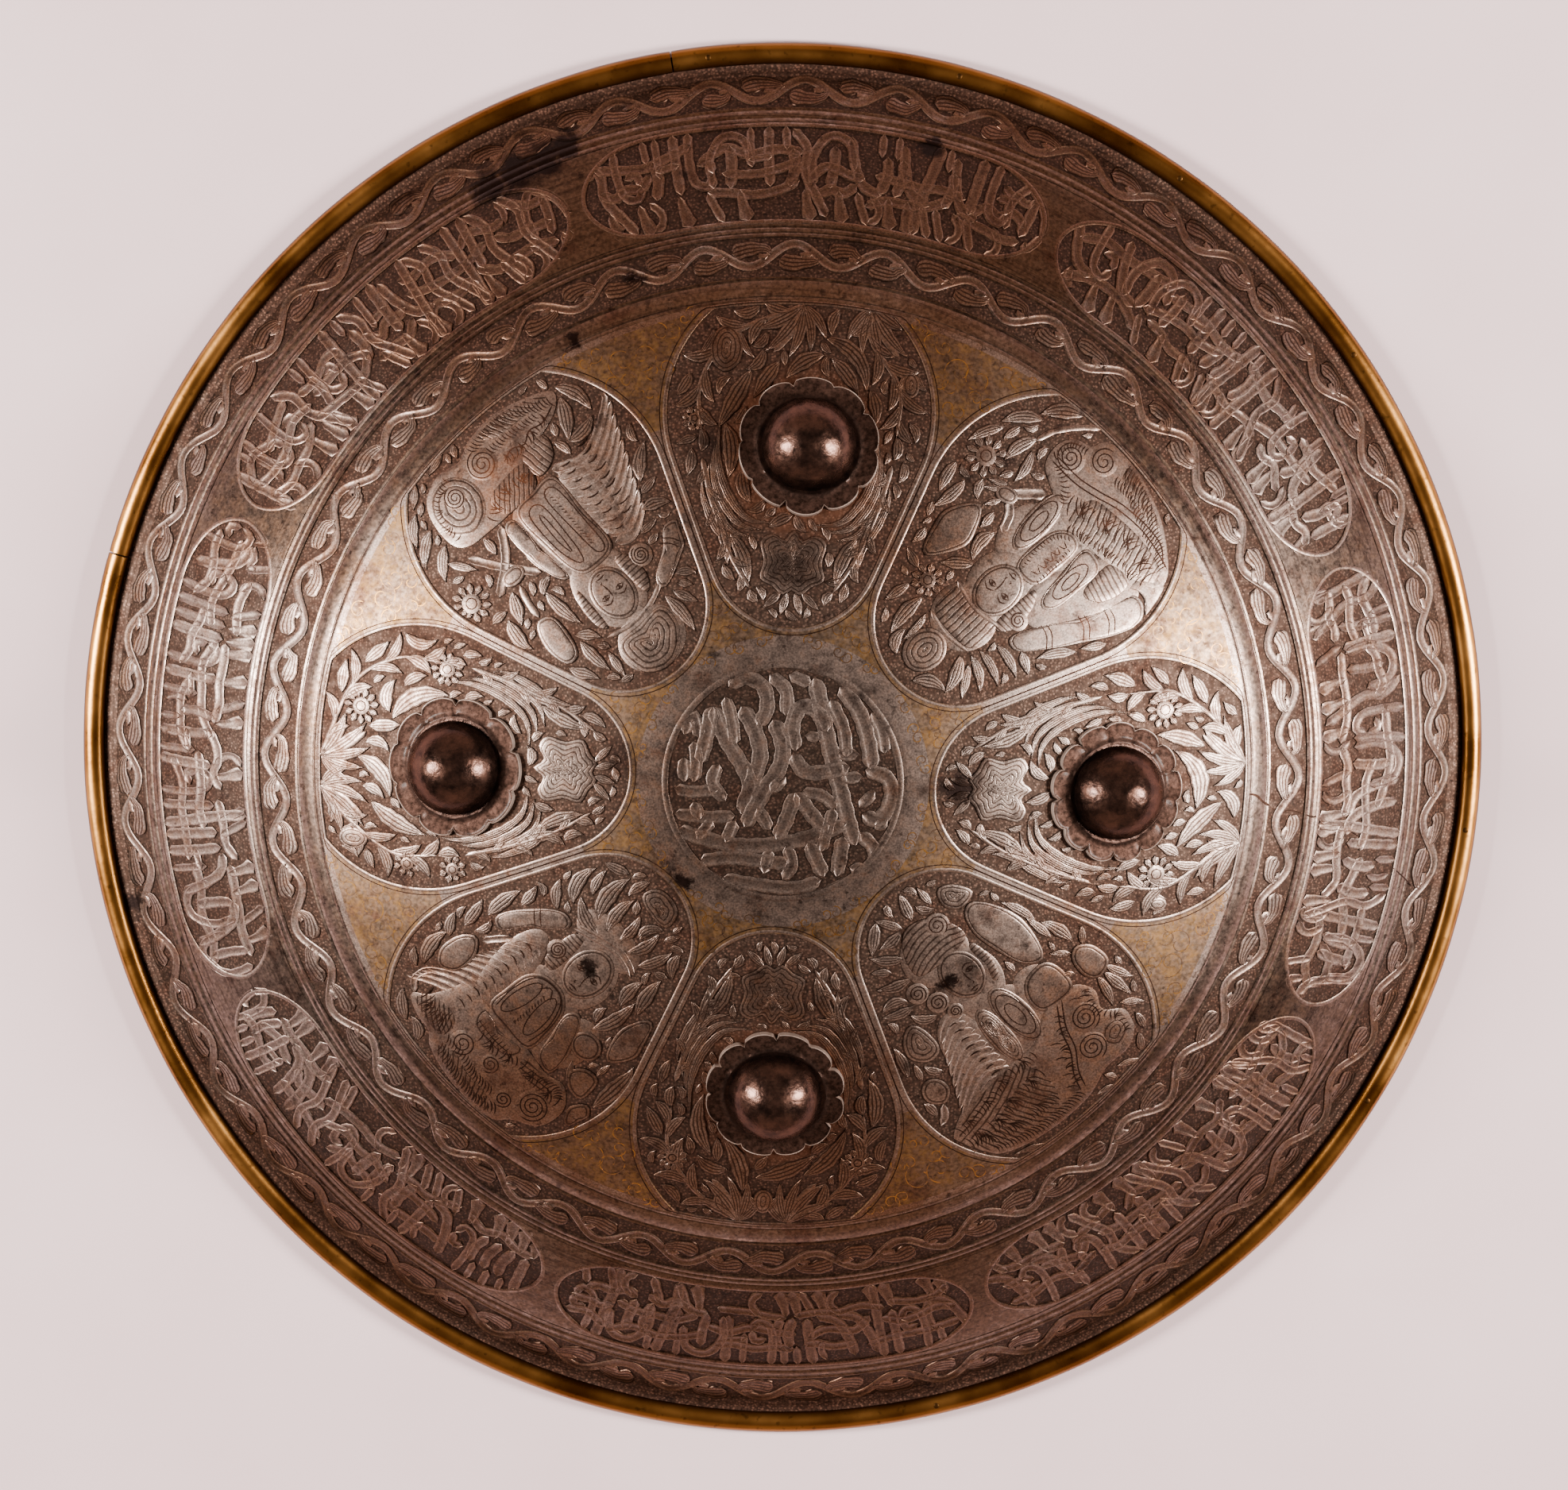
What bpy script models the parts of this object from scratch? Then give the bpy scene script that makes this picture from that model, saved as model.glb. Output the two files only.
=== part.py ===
"""A round steel shield of the Indo-Persian kind: a forged dome bound in brass, with four bosses.

It lies on its rim with the dome up. The origin is on the ground under the crown, +Z is the axis
of the dome and +Y is the shield's top. Bearings run clockwise from +Y, seen from above.
"""

import math

import bmesh
import bpy
from mathutils import Matrix, Vector

MM = 0.001

# Driving dimensions
SHIELD_RADIUS = 235.0 * MM  # to the outside of the brass binding
STEEL_WALL = 1.4 * MM
DOME_FOOT_RADIUS = 225.5 * MM  # where the dome's sphere would reach the flat lip
DOME_RISE = 94.0 * MM  # crown of the dome above the top of the lip
FOOT_FILLET = 4.0 * MM  # the hollow bend from the dome to the lip
LIP_END_RADIUS = 232.8 * MM  # edge of the steel, inside the brass
GAP = 0.3 * MM  # left between touching pieces

# Brass binding: a tube slit along its inner side and pushed over the lip
BINDING_HALF_WIDTH = 3.8 * MM
BINDING_HALF_HEIGHT = 3.6 * MM
BINDING_WALL = 1.2 * MM
BINDING_SUNK = 0.1 * MM  # how much of the round underside is worn to a flat
BINDING_JOINTS = (286.5, 350.9)  # bearings where its two lengths meet
JOINT_KERF = 0.5 * MM

# Pins through the binding and the lip
PIN_RADIUS = 0.9 * MM
PIN_CIRCLE_RADIUS = 231.0 * MM
PIN_BEARINGS = (14.6, 34.6, 55.1, 96.7, 121.1, 166.9, 353.9)

# Bosses: name, bearing, distance from the axis, lobes round the flange
BOSSES = (
    ("boss_top", 4.5, 105.0 * MM, 10),
    ("boss_right", 92.8, 106.3 * MM, 13),
    ("boss_bottom", 181.4, 102.6 * MM, 12),
    ("boss_left", 271.6, 104.1 * MM, 10),
)
BOSS_DOME_RADIUS = 15.0 * MM
BOSS_DOME_HEIGHT = 14.6 * MM
FLANGE_RADIUS = 22.8 * MM  # to the tips of the lobes
LOBE_DEPTH = 2.4 * MM
FLANGE_EDGE = 1.0 * MM
FLANGE_DISH = 0.5 * MM  # the flange is this much lower round the dome's foot than at its edge
SHANK_RADIUS = 3.0 * MM
SHANK_HOLE_RADIUS = 3.4 * MM
SHANK_HEAD_RADIUS = 5.5 * MM
SHANK_HEAD_FLAT = 4.2 * MM
SHANK_HEAD_HEIGHT = 2.0 * MM
SHANK_HEAD_BEVEL = 0.2 * MM
SHANK_HEAD_GAP = 0.8 * MM  # the dome's flat facets lie up to 0.4 mm inside its sphere

# Facets
TURN_STEPS = 72
CAP_RINGS = 8
FILLET_STEPS = 2
TUBE_OUTER_TURNS = (50, 90, 135, 180, 218)  # then the flat, then one more
TUBE_LAST_TURN = 314
TUBE_INNER_TURNS = (90, 180, 270)
BOSS_DOME_RINGS = 4
POINTS_PER_LOBE = 3
PIN_SIDES = 10
SHANK_HOLE_SIDES = 16
MERGE_DISTANCE = 0.05 * MM  # points this close on the axis become one
SHARP_ANGLE = 35.0  # degrees; flatter edges are shaded smooth
HOLE_REACH = 10.0 * MM  # how far a cutter runs past the steel on each side

# Worked out from the above
SPHERE_RADIUS = (DOME_FOOT_RADIUS**2 + DOME_RISE**2) / (2 * DOME_RISE)
TUBE_CENTRE_RADIUS = SHIELD_RADIUS - BINDING_HALF_WIDTH
TUBE_CENTRE_HEIGHT = BINDING_HALF_HEIGHT - BINDING_SUNK
LIP_TOP = TUBE_CENTRE_HEIGHT + STEEL_WALL / 2
SPHERE_CENTRE_HEIGHT = LIP_TOP + DOME_RISE - SPHERE_RADIUS


def clear_scene():
    for obj in list(bpy.data.objects):
        bpy.data.objects.remove(obj, do_unlink=True)


def new_collection(name):
    collection = bpy.data.collections.new(name)
    bpy.context.scene.collection.children.link(collection)
    return collection


def metal(name, colour, roughness):
    material = bpy.data.materials.new(name)
    material.use_nodes = True
    shader = material.node_tree.nodes["Principled BSDF"]
    shader.inputs["Base Color"].default_value = (*colour, 1.0)
    shader.inputs["Metallic"].default_value = 1.0
    shader.inputs["Roughness"].default_value = roughness
    return material


def add_object(name, mesh, collection, material=None):
    obj = bpy.data.objects.new(name, mesh)
    collection.objects.link(obj)
    if material:
        mesh.materials.append(material)
    return obj


def smooth(obj):
    obj.data.shade_smooth()
    obj.data.set_sharp_from_angle(angle=math.radians(SHARP_ANGLE))


def profile_object(name, points, closed, collection, material):
    """An outline of (radius, height) points in the XZ plane, turned about Z by a Screw modifier."""
    mesh = bpy.data.meshes.new(name)
    edges = [(i, i + 1) for i in range(len(points) - 1)]
    if closed:
        edges.append((len(points) - 1, 0))
    mesh.from_pydata([(radius, 0.0, height) for radius, height in points], edges, [])
    obj = add_object(name, mesh, collection, material)
    screw = obj.modifiers.new("turn", "SCREW")
    screw.steps = screw.render_steps = TURN_STEPS
    screw.use_merge_vertices = True
    screw.merge_threshold = MERGE_DISTANCE
    screw.use_smooth_shade = True
    return obj


def on_circle(radius, bearing):
    angle = math.radians(bearing)
    return Vector((radius * math.sin(angle), radius * math.cos(angle), 0.0))


def dome_profile():
    """The steel's upper side: the sphere from the crown down, the fillet, then the flat lip."""
    fillet_height = LIP_TOP + FOOT_FILLET
    rise_from_centre = fillet_height - SPHERE_CENTRE_HEIGHT
    fillet_radius = math.sqrt((SPHERE_RADIUS + FOOT_FILLET) ** 2 - rise_from_centre**2)
    foot_angle = math.atan2(fillet_radius, rise_from_centre)
    points = []
    for ring in range(CAP_RINGS + 1):
        angle = foot_angle * ring / CAP_RINGS
        points.append(
            (SPHERE_RADIUS * math.sin(angle), SPHERE_CENTRE_HEIGHT + SPHERE_RADIUS * math.cos(angle))
        )
    for step in range(1, FILLET_STEPS + 1):
        angle = foot_angle * (1 - step / FILLET_STEPS)
        points.append(
            (fillet_radius - FOOT_FILLET * math.sin(angle), fillet_height - FOOT_FILLET * math.cos(angle))
        )
    points.append((LIP_END_RADIUS, LIP_TOP))
    return points


def tube_arc(inset, turns):
    """The slit tube's section at these turns, in degrees over the top from the slit's middle.

    The first and last point lie on the slit's two faces.
    """
    half_width = BINDING_HALF_WIDTH - inset
    half_height = BINDING_HALF_HEIGHT - inset
    slit = math.degrees(math.asin((STEEL_WALL / 2 + GAP) / half_height))
    points = []
    for turn in (slit, *turns, 360 - slit):
        angle = math.radians(turn)
        radius = TUBE_CENTRE_RADIUS - half_width * math.cos(angle)
        height = TUBE_CENTRE_HEIGHT + half_height * math.sin(angle)
        points.append((radius, max(height, 0.0)))
    return points


def boss_frame(bearing, distance):
    """The place on the dome's outer side at this bearing and distance, with +Z along the normal."""
    polar = math.asin(distance / SPHERE_RADIUS)
    height = SPHERE_CENTRE_HEIGHT + SPHERE_RADIUS * math.cos(polar)
    turn = Matrix.Rotation(-math.radians(bearing), 4, "Z") @ Matrix.Rotation(-polar, 4, "X")
    return Matrix.Translation(on_circle(distance, bearing) + Vector((0, 0, height))) @ turn


def cylinder(name, radius, low, high, sides, collection, material=None):
    """An upright cylinder from one height to another, about the object's own Z axis."""
    mesh = bpy.data.meshes.new(name)
    shape = bmesh.new()
    bmesh.ops.create_cone(
        shape,
        cap_ends=True,
        segments=sides,
        radius1=radius,
        radius2=radius,
        depth=high - low,
        matrix=Matrix.Translation((0, 0, (low + high) / 2)),
    )
    shape.to_mesh(mesh)
    shape.free()
    return add_object(name, mesh, collection, material)


def cut(obj, cutters):
    """Takes each cutter's volume out of the object."""
    for cutter in cutters:
        boolean = obj.modifiers.new("hole", "BOOLEAN")
        boolean.operation = "DIFFERENCE"
        boolean.object = cutter


def lobe_radius(angle, lobes):
    """Outline of the flange: round lobes that meet in notches."""
    across = (angle * lobes / (2 * math.pi)) % 1.0 * 2 - 1
    return FLANGE_RADIUS - LOBE_DEPTH * (1 - math.sqrt(max(0.0, 1 - across**2)))


def boss_rings(lobes):
    """Sections of a boss from its top down: (radius as a function of angle, height)."""

    def plain(radius, height):
        return lambda angle: radius, lambda radius_here: height

    def follow(radius_at, lift):
        # the dome of the shield falls away by r^2 / 2R under the flange
        return radius_at, lambda radius_here: lift - radius_here**2 / (2 * SPHERE_RADIUS)

    foot_height = FLANGE_EDGE + GAP - FLANGE_DISH / 2
    rings = []
    for ring in range(1, BOSS_DOME_RINGS + 1):
        angle = math.pi / 2 * ring / BOSS_DOME_RINGS
        height = foot_height + BOSS_DOME_HEIGHT * math.cos(angle)
        rings.append(plain(BOSS_DOME_RADIUS * math.sin(angle), height))
    rings.append(follow(lambda angle: lobe_radius(angle, lobes), GAP + FLANGE_EDGE + FLANGE_DISH))
    rings.append(follow(lambda angle: lobe_radius(angle, lobes), GAP))
    rings.append(follow(lambda angle: SHANK_RADIUS, GAP))
    head_top = -STEEL_WALL - SHANK_HEAD_GAP
    rings.append(plain(SHANK_RADIUS, head_top))
    rings.append(plain(SHANK_HEAD_RADIUS, head_top - SHANK_HEAD_BEVEL))
    rings.append(plain(SHANK_HEAD_FLAT, head_top - SHANK_HEAD_HEIGHT))
    return rings, foot_height + BOSS_DOME_HEIGHT


def loft(name, rings, top, points_round, collection, material):
    """A closed body through sections with as many points each, from a point at its top."""
    shape = bmesh.new()
    loops = []
    for radius_at, height_at in rings:
        loop = []
        for index in range(points_round):
            angle = 2 * math.pi * index / points_round
            radius = radius_at(angle)
            loop.append(
                shape.verts.new((radius * math.cos(angle), radius * math.sin(angle), height_at(radius)))
            )
        loops.append(loop)
    for upper, lower in zip(loops, loops[1:]):
        for index in range(points_round):
            after = (index + 1) % points_round
            shape.faces.new((upper[index], lower[index], lower[after], upper[after]))
    crown = shape.verts.new((0, 0, top))
    for index in range(points_round):
        shape.faces.new((crown, loops[0][index], loops[0][(index + 1) % points_round]))
    shape.faces.new(list(reversed(loops[-1])))
    bmesh.ops.recalc_face_normals(shape, faces=shape.faces[:])
    mesh = bpy.data.meshes.new(name)
    shape.to_mesh(mesh)
    shape.free()
    return add_object(name, mesh, collection, material)


def make_dome(collection, cutters, material):
    dome = profile_object("steel_dome", dome_profile(), False, collection, material)
    wall = dome.modifiers.new("wall", "SOLIDIFY")
    wall.thickness = STEEL_WALL
    wall.offset = -1.0
    wall.use_even_offset = True
    cut(dome, cutters)
    return dome


def length_of_ring(whole, name, low, high, between, collection):
    """The loose length of a ring that lies between two bearings, or else the one that doesn't."""
    shape = bmesh.new()
    shape.from_mesh(whole)
    left = set(shape.verts)
    while left:
        front = [left.pop()]
        length = set(front)
        while front:
            vert = front.pop()
            beside = {edge.other_vert(vert) for edge in vert.link_edges} & left
            left -= beside
            length |= beside
            front += beside
        bearings = [math.degrees(math.atan2(vert.co.x, vert.co.y)) % 360 for vert in length]
        lies_between = all(low < bearing < high for bearing in bearings)
        if lies_between != between:
            bmesh.ops.delete(shape, geom=list(length), context="VERTS")
    mesh = bpy.data.meshes.new(name)
    shape.to_mesh(mesh)
    shape.free()
    return add_object(name, mesh, collection)


def make_binding(collection, helpers, pin_holes, material):
    """The brass tube, turned whole, sawn at its two joints and parted into two lengths."""
    worn = math.degrees(math.acos(1 - BINDING_SUNK / BINDING_HALF_HEIGHT))
    outer_turns = (*TUBE_OUTER_TURNS, 270 - worn, 270 + worn, TUBE_LAST_TURN)
    section = tube_arc(0.0, outer_turns) + tube_arc(BINDING_WALL, TUBE_INNER_TURNS)[::-1]
    ring = profile_object("binding_whole", section, True, helpers, material)
    kerfs = []
    for bearing in BINDING_JOINTS:
        mesh = bpy.data.meshes.new("binding_kerf")
        shape = bmesh.new()
        bmesh.ops.create_cube(shape, size=1.0)
        size = Matrix.Diagonal((JOINT_KERF, 8 * BINDING_HALF_WIDTH, 6 * BINDING_HALF_HEIGHT, 1))
        bmesh.ops.transform(shape, matrix=size, verts=shape.verts[:])
        shape.to_mesh(mesh)
        shape.free()
        kerf = add_object("binding_kerf", mesh, helpers)
        kerf.location = on_circle(TUBE_CENTRE_RADIUS, bearing) + Vector((0, 0, TUBE_CENTRE_HEIGHT))
        kerf.rotation_euler.z = -math.radians(bearing)
        kerfs.append(kerf)
    cut(ring, kerfs + pin_holes)
    bpy.context.view_layer.update()
    graph = bpy.context.evaluated_depsgraph_get()
    whole = bpy.data.meshes.new_from_object(ring.evaluated_get(graph))
    first, second = BINDING_JOINTS
    length_of_ring(whole, "brass_binding_short", first, second, True, collection)
    length_of_ring(whole, "brass_binding_long", first, second, False, collection)


def main():
    clear_scene()
    shield = new_collection("steel_shield")
    helpers = new_collection("cutters")
    steel = metal("etched_steel", (0.20, 0.16, 0.14), 0.38)
    dark_steel = metal("russet_boss_steel", (0.10, 0.06, 0.05), 0.25)
    brass = metal("brass", (0.48, 0.26, 0.06), 0.32)

    shank_holes = []
    for name, bearing, distance, _ in BOSSES:
        hole = cylinder(
            f"{name}_hole", SHANK_HOLE_RADIUS, -HOLE_REACH, HOLE_REACH, SHANK_HOLE_SIDES, helpers
        )
        hole.matrix_world = boss_frame(bearing, distance)
        shank_holes.append(hole)
    pin_holes = []
    for bearing in PIN_BEARINGS:
        hole = cylinder("pin_hole", PIN_RADIUS + GAP, -HOLE_REACH, 2 * HOLE_REACH, PIN_SIDES, helpers)
        hole.location = on_circle(PIN_CIRCLE_RADIUS, bearing)
        pin_holes.append(hole)

    make_dome(shield, shank_holes + pin_holes, steel)
    make_binding(shield, helpers, pin_holes, brass)

    for name, bearing, distance, lobes in BOSSES:
        rings, top = boss_rings(lobes)
        boss = loft(name, rings, top, lobes * POINTS_PER_LOBE, shield, dark_steel)
        boss.matrix_world = boss_frame(bearing, distance)
        smooth(boss)
    pin_top = TUBE_CENTRE_HEIGHT + BINDING_HALF_HEIGHT
    for number, bearing in enumerate(PIN_BEARINGS, 1):
        pin = cylinder(f"binding_pin_{number}", PIN_RADIUS, GAP, pin_top, PIN_SIDES, shield, brass)
        pin.location = on_circle(PIN_CIRCLE_RADIUS, bearing)
        smooth(pin)

    for helper in helpers.objects:
        helper.hide_render = True
        helper.hide_set(True)
        helper.display_type = "WIRE"
    origin = bpy.data.objects.new("steel_shield_origin", None)
    shield.objects.link(origin)
    for piece in list(shield.objects):
        if piece is not origin:
            piece.parent = origin


main()
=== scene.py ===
# %% [markdown]
# # A steel shield with etched bands and four bosses
# A shield of this kind is one sheet of steel, hammered into a shallow dome. Its outside is
# covered with resist, drawn through, and etched: the acid eats the background down by about
# half a millimetre and leaves the drawing standing. A graver then adds the fine lines.
# Four turned steel bosses hide the rivets of the arm straps, and a brass tube, slit along its
# length, is pushed over the sharp edge. This lesson builds the same layers in the same order.

import math

import bpy
import numpy as np
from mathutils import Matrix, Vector


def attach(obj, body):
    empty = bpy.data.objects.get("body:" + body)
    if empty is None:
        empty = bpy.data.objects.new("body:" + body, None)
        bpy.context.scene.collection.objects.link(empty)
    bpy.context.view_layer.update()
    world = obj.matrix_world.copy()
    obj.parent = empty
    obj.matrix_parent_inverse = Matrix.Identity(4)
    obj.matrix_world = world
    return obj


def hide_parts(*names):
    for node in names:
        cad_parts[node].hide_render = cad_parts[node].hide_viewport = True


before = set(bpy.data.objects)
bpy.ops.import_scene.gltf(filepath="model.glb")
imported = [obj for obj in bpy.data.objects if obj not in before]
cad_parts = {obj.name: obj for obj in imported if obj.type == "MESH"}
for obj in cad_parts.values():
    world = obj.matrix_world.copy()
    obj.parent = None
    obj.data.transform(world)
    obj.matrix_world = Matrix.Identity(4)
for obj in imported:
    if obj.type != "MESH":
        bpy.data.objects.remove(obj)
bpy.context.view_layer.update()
print("frame nodes:", ", ".join(sorted(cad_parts)))

# %% [markdown]
# ## Camera
# The shield lies on its rim with the dome up, so the camera hangs above it and looks down,
# leaning a few degrees toward the top of the shield. A long lens six radii away keeps the rim
# nearly round and still lets the middle of the dome come a little closer.

# %% Camera
CAMERA_AIM = Vector((0.0004, 0.0016, 0.0045))
CAMERA_DISTANCE = 1.41
CAMERA_LEAN = math.radians(6.3)
FOCAL_LENGTH = 96.4  # mm, on a sensor 36 mm wide

camera = bpy.data.objects.new("camera", bpy.data.cameras.new("camera"))
bpy.context.scene.collection.objects.link(camera)
bpy.context.scene.camera = camera
camera.data.lens = FOCAL_LENGTH
camera.data.sensor_width = 36.0
camera.location = CAMERA_AIM + CAMERA_DISTANCE * Vector(
    (0.0, math.sin(CAMERA_LEAN), math.cos(CAMERA_LEAN))
)
camera.rotation_euler = (-CAMERA_LEAN, 0.0, 0.0)
print("camera at", [round(value, 3) for value in camera.location])

# %% [markdown]
# ## Materials: the helpers
# Colours are written the way a painter's chart gives them, as sRGB hex, and one function turns
# them into the linear numbers that the renderer adds up. Another adds one node and wires it,
# so that each material reads from top to bottom like a recipe.


# %% Helpers for materials
COLOUR = {"data_type": "RGBA"}  # the setting of a Mix node that mixes colours: inputs 0, 6, 7
SMOOTH = {"interpolation_type": "SMOOTHSTEP"}


def linear(colour):
    """An sRGB hex colour as linear RGBA: each channel c becomes ((c + 0.055) / 1.055) ^ 2.4."""
    channels = [int(colour[i : i + 2], 16) / 255 for i in (1, 3, 5)]
    return (
        *(c / 12.92 if c <= 0.04045 else ((c + 0.055) / 1.055) ** 2.4 for c in channels),
        1.0,
    )


def wire(tree, node, inputs):
    """Sets a node's inputs, given by name or in order.

    A socket is linked, a node through its first live output; a hex colour is made linear;
    any other value is written down as it is.
    """
    for key, value in (inputs if isinstance(inputs, dict) else dict(enumerate(inputs))).items():
        if isinstance(value, bpy.types.Node):
            value = next(output for output in value.outputs if output.enabled)
        if isinstance(value, bpy.types.NodeSocket):
            tree.links.new(value, node.inputs[key])
        else:
            node.inputs[key].default_value = linear(value) if isinstance(value, str) else value
    return node


def add(tree, kind, inputs=(), **settings):
    """One node of this kind, with its settings and its inputs."""
    made = tree.nodes.new("ShaderNode" + kind)
    for key, value in settings.items():
        setattr(made, key, value)
    return wire(tree, made, inputs)


def start_material(name):
    """A new node material: itself, its tree, its shader and its place in Object coordinates."""
    material = bpy.data.materials.new(name)
    material.use_nodes = True
    tree = material.node_tree
    place = add(tree, "TexCoord").outputs["Object"]
    return material, tree, tree.nodes["Principled BSDF"], place


PER_MM = 1000.0  # Object coordinates are in metres, so a pattern S mm across has scale 1000 / S

# %% [markdown]
# ## Floor and light
# A pale paper sweep and two soft boxes, one on each side, both well above the table. Steel shows
# hardly anything but reflections, so the boxes decide what is seen: on a dome each box makes one
# broad glow at the place whose normal points half way between box and eye. That is a dome angle
# of about 27 degrees, and the eye leans inward by a few more, so each box stands 55 degrees off
# the axis. Two wide dim boards, one beyond the shield and one before it, and the warm grey of
# the room keep the dome's far and near sides from going black.

# %% Floor
FLOOR_SIDE = 2.6
FLOOR_SINK = 0.0001  # metres under the rim, so that the two never share a plane
FIBRE_SIZE = 60  # mm, of the clouds in the paper

paper, tree, shader, place = start_material("pale_paper")
fibre = add(tree, "TexNoise", {"Vector": place, "Scale": PER_MM / FIBRE_SIZE, "Detail": 3.0})
tone = add(tree, "Mix", {0: fibre, 6: "#d2babd", 7: "#dec8cc"}, **COLOUR)
wire(tree, shader, {"Base Color": tone, "Roughness": 0.85})

floor_mesh = bpy.data.meshes.new("floor")
half = FLOOR_SIDE / 2
corners = [(-half, -half, 0), (half, -half, 0), (half, half, 0), (-half, half, 0)]
floor_mesh.from_pydata(corners, [], [(0, 1, 2, 3)])
floor_mesh.materials.append(paper)
floor = bpy.data.objects.new("floor", floor_mesh)
bpy.context.scene.collection.objects.link(floor)
floor.location.z = -FLOOR_SINK

# %% Light
LIGHT_DISTANCE = 1.55
BOX_ANGLE = 55.5  # from the vertical
BOX_SIZE, BOX_POWER = (0.26, 0.46), 66.0
BOARD_ANGLE = 68.0
BOARD_SIZE, BOARD_POWER = (2.2, 1.0), 5.6
ROOM_STRENGTH = 0.28


def soft_light(name, size, power, tint, way, up):
    """A rectangle of light that far from the shield, in the direction `way`, facing it."""
    light = bpy.data.lights.new(name, "AREA")
    light.shape = "RECTANGLE"
    light.size, light.size_y = size
    light.energy = power
    light.color = linear(tint)[:3]
    made = bpy.data.objects.new(name, light)
    bpy.context.scene.collection.objects.link(made)
    made.location = LIGHT_DISTANCE * Vector(way)
    made.rotation_euler = (-made.location).to_track_quat("-Z", up).to_euler()


for side, hand, lean in (("left", -1, 4.0), ("right", 1, 0.8)):
    across = math.radians(BOX_ANGLE) * hand
    way = (math.sin(across), math.sin(math.radians(lean)), math.cos(across))
    soft_light(side + "_soft_box", BOX_SIZE, BOX_POWER, "#fff6f0", way, "Y")
for side, hand in (("far", 1), ("near", -1)):
    lean = math.radians(BOARD_ANGLE)
    way = (0.0, hand * math.sin(lean), math.cos(lean))
    soft_light(side + "_board", BOARD_SIZE, BOARD_POWER, "#e8c0a8", way, "Z")

world = bpy.data.worlds.new("dim_room")
bpy.context.scene.world = world
world.use_nodes = True
room = world.node_tree.nodes["Background"]
wire(world.node_tree, room, {"Color": "#b08a78", "Strength": ROOM_STRENGTH})
print("soft boxes at", BOX_ANGLE, "degrees from the vertical")

# %% [markdown]
# ## One map and one builder for every shape
# The dome is part of a sphere. Every drawing on it is laid out flat, as seen from above, in
# millimetres, and then lifted onto that sphere, so a circle round the axis stays a circle. And
# every shape is the same kind of grid: a closed section carried along a path, or closed rings
# carried from a middle out to an edge. So one map and one loft make the whole shield.

# %% The map and the loft
MM = 0.001
SPHERE_RADIUS = 317.48  # mm, of the dome's outside
SPHERE_CENTRE = -219.28  # mm, height of its centre
GROUND = -0.45  # mm, how deep the etched background lies
ROOT = -0.8  # mm, how deep raised work reaches into the steel under the background
CREASE = math.radians(38.0)  # edges that bend more than this stay sharp


def on_dome(plan, height=0.0):
    """Plan (x, y) and height, mm, to points in metres: centre + (radius + height) * normal."""
    x, y = plan[..., 0], plan[..., 1]
    level = np.sqrt(SPHERE_RADIUS**2 - x**2 - y**2)
    normal = np.stack([x, y, level], -1) / SPHERE_RADIUS
    points = normal * (SPHERE_RADIUS + np.broadcast_to(height, x.shape))[..., None]
    points[..., 2] += SPHERE_CENTRE
    return points * MM


def loft(rings, uv, closed=False):
    """A closed solid through n rings of k points: its points, quads, end fans and map.

    The last ring joins the first when closed; otherwise a fan shuts each end ring at its mean.
    The sign of the volume, a sum of triple products, says whether to turn the faces over.
    """
    n, k = rings.shape[:2]
    row = np.arange(n if closed else n - 1)[:, None]
    column = np.arange(k)[None, :]
    after, beside = (row + 1) % n, (column + 1) % k
    corners = (row * k + column, row * k + beside, after * k + beside, after * k + column)
    quads = np.stack(np.broadcast_arrays(*corners), -1).reshape(-1, 4)
    points, maps = rings.reshape(-1, 3), uv.reshape(-1, 2)
    fans = np.empty((0, 3), int)
    if not closed:
        points = np.concatenate([points, rings[:1].mean(1), rings[-1:].mean(1)])
        maps = np.concatenate([maps, uv[:1].mean(1), uv[-1:].mean(1)])
        ring, turn = np.arange(k), (np.arange(k) + 1) % k
        first = np.stack([np.full(k, n * k), turn, ring], -1)
        last = np.stack([np.full(k, n * k + 1), ring + (n - 1) * k, turn + (n - 1) * k], -1)
        fans = np.concatenate([first, last])
    local = points - points.mean(0)
    triangles = np.concatenate([quads[:, :3], quads[:, [0, 2, 3]], fans])
    a, b, c = (local[triangles[:, i]] for i in range(3))
    if np.einsum("ij,ij->i", a, np.cross(b, c)).sum() < 0:
        quads, fans = quads[:, ::-1], fans[:, ::-1]
    return points, quads, fans, maps


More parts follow.
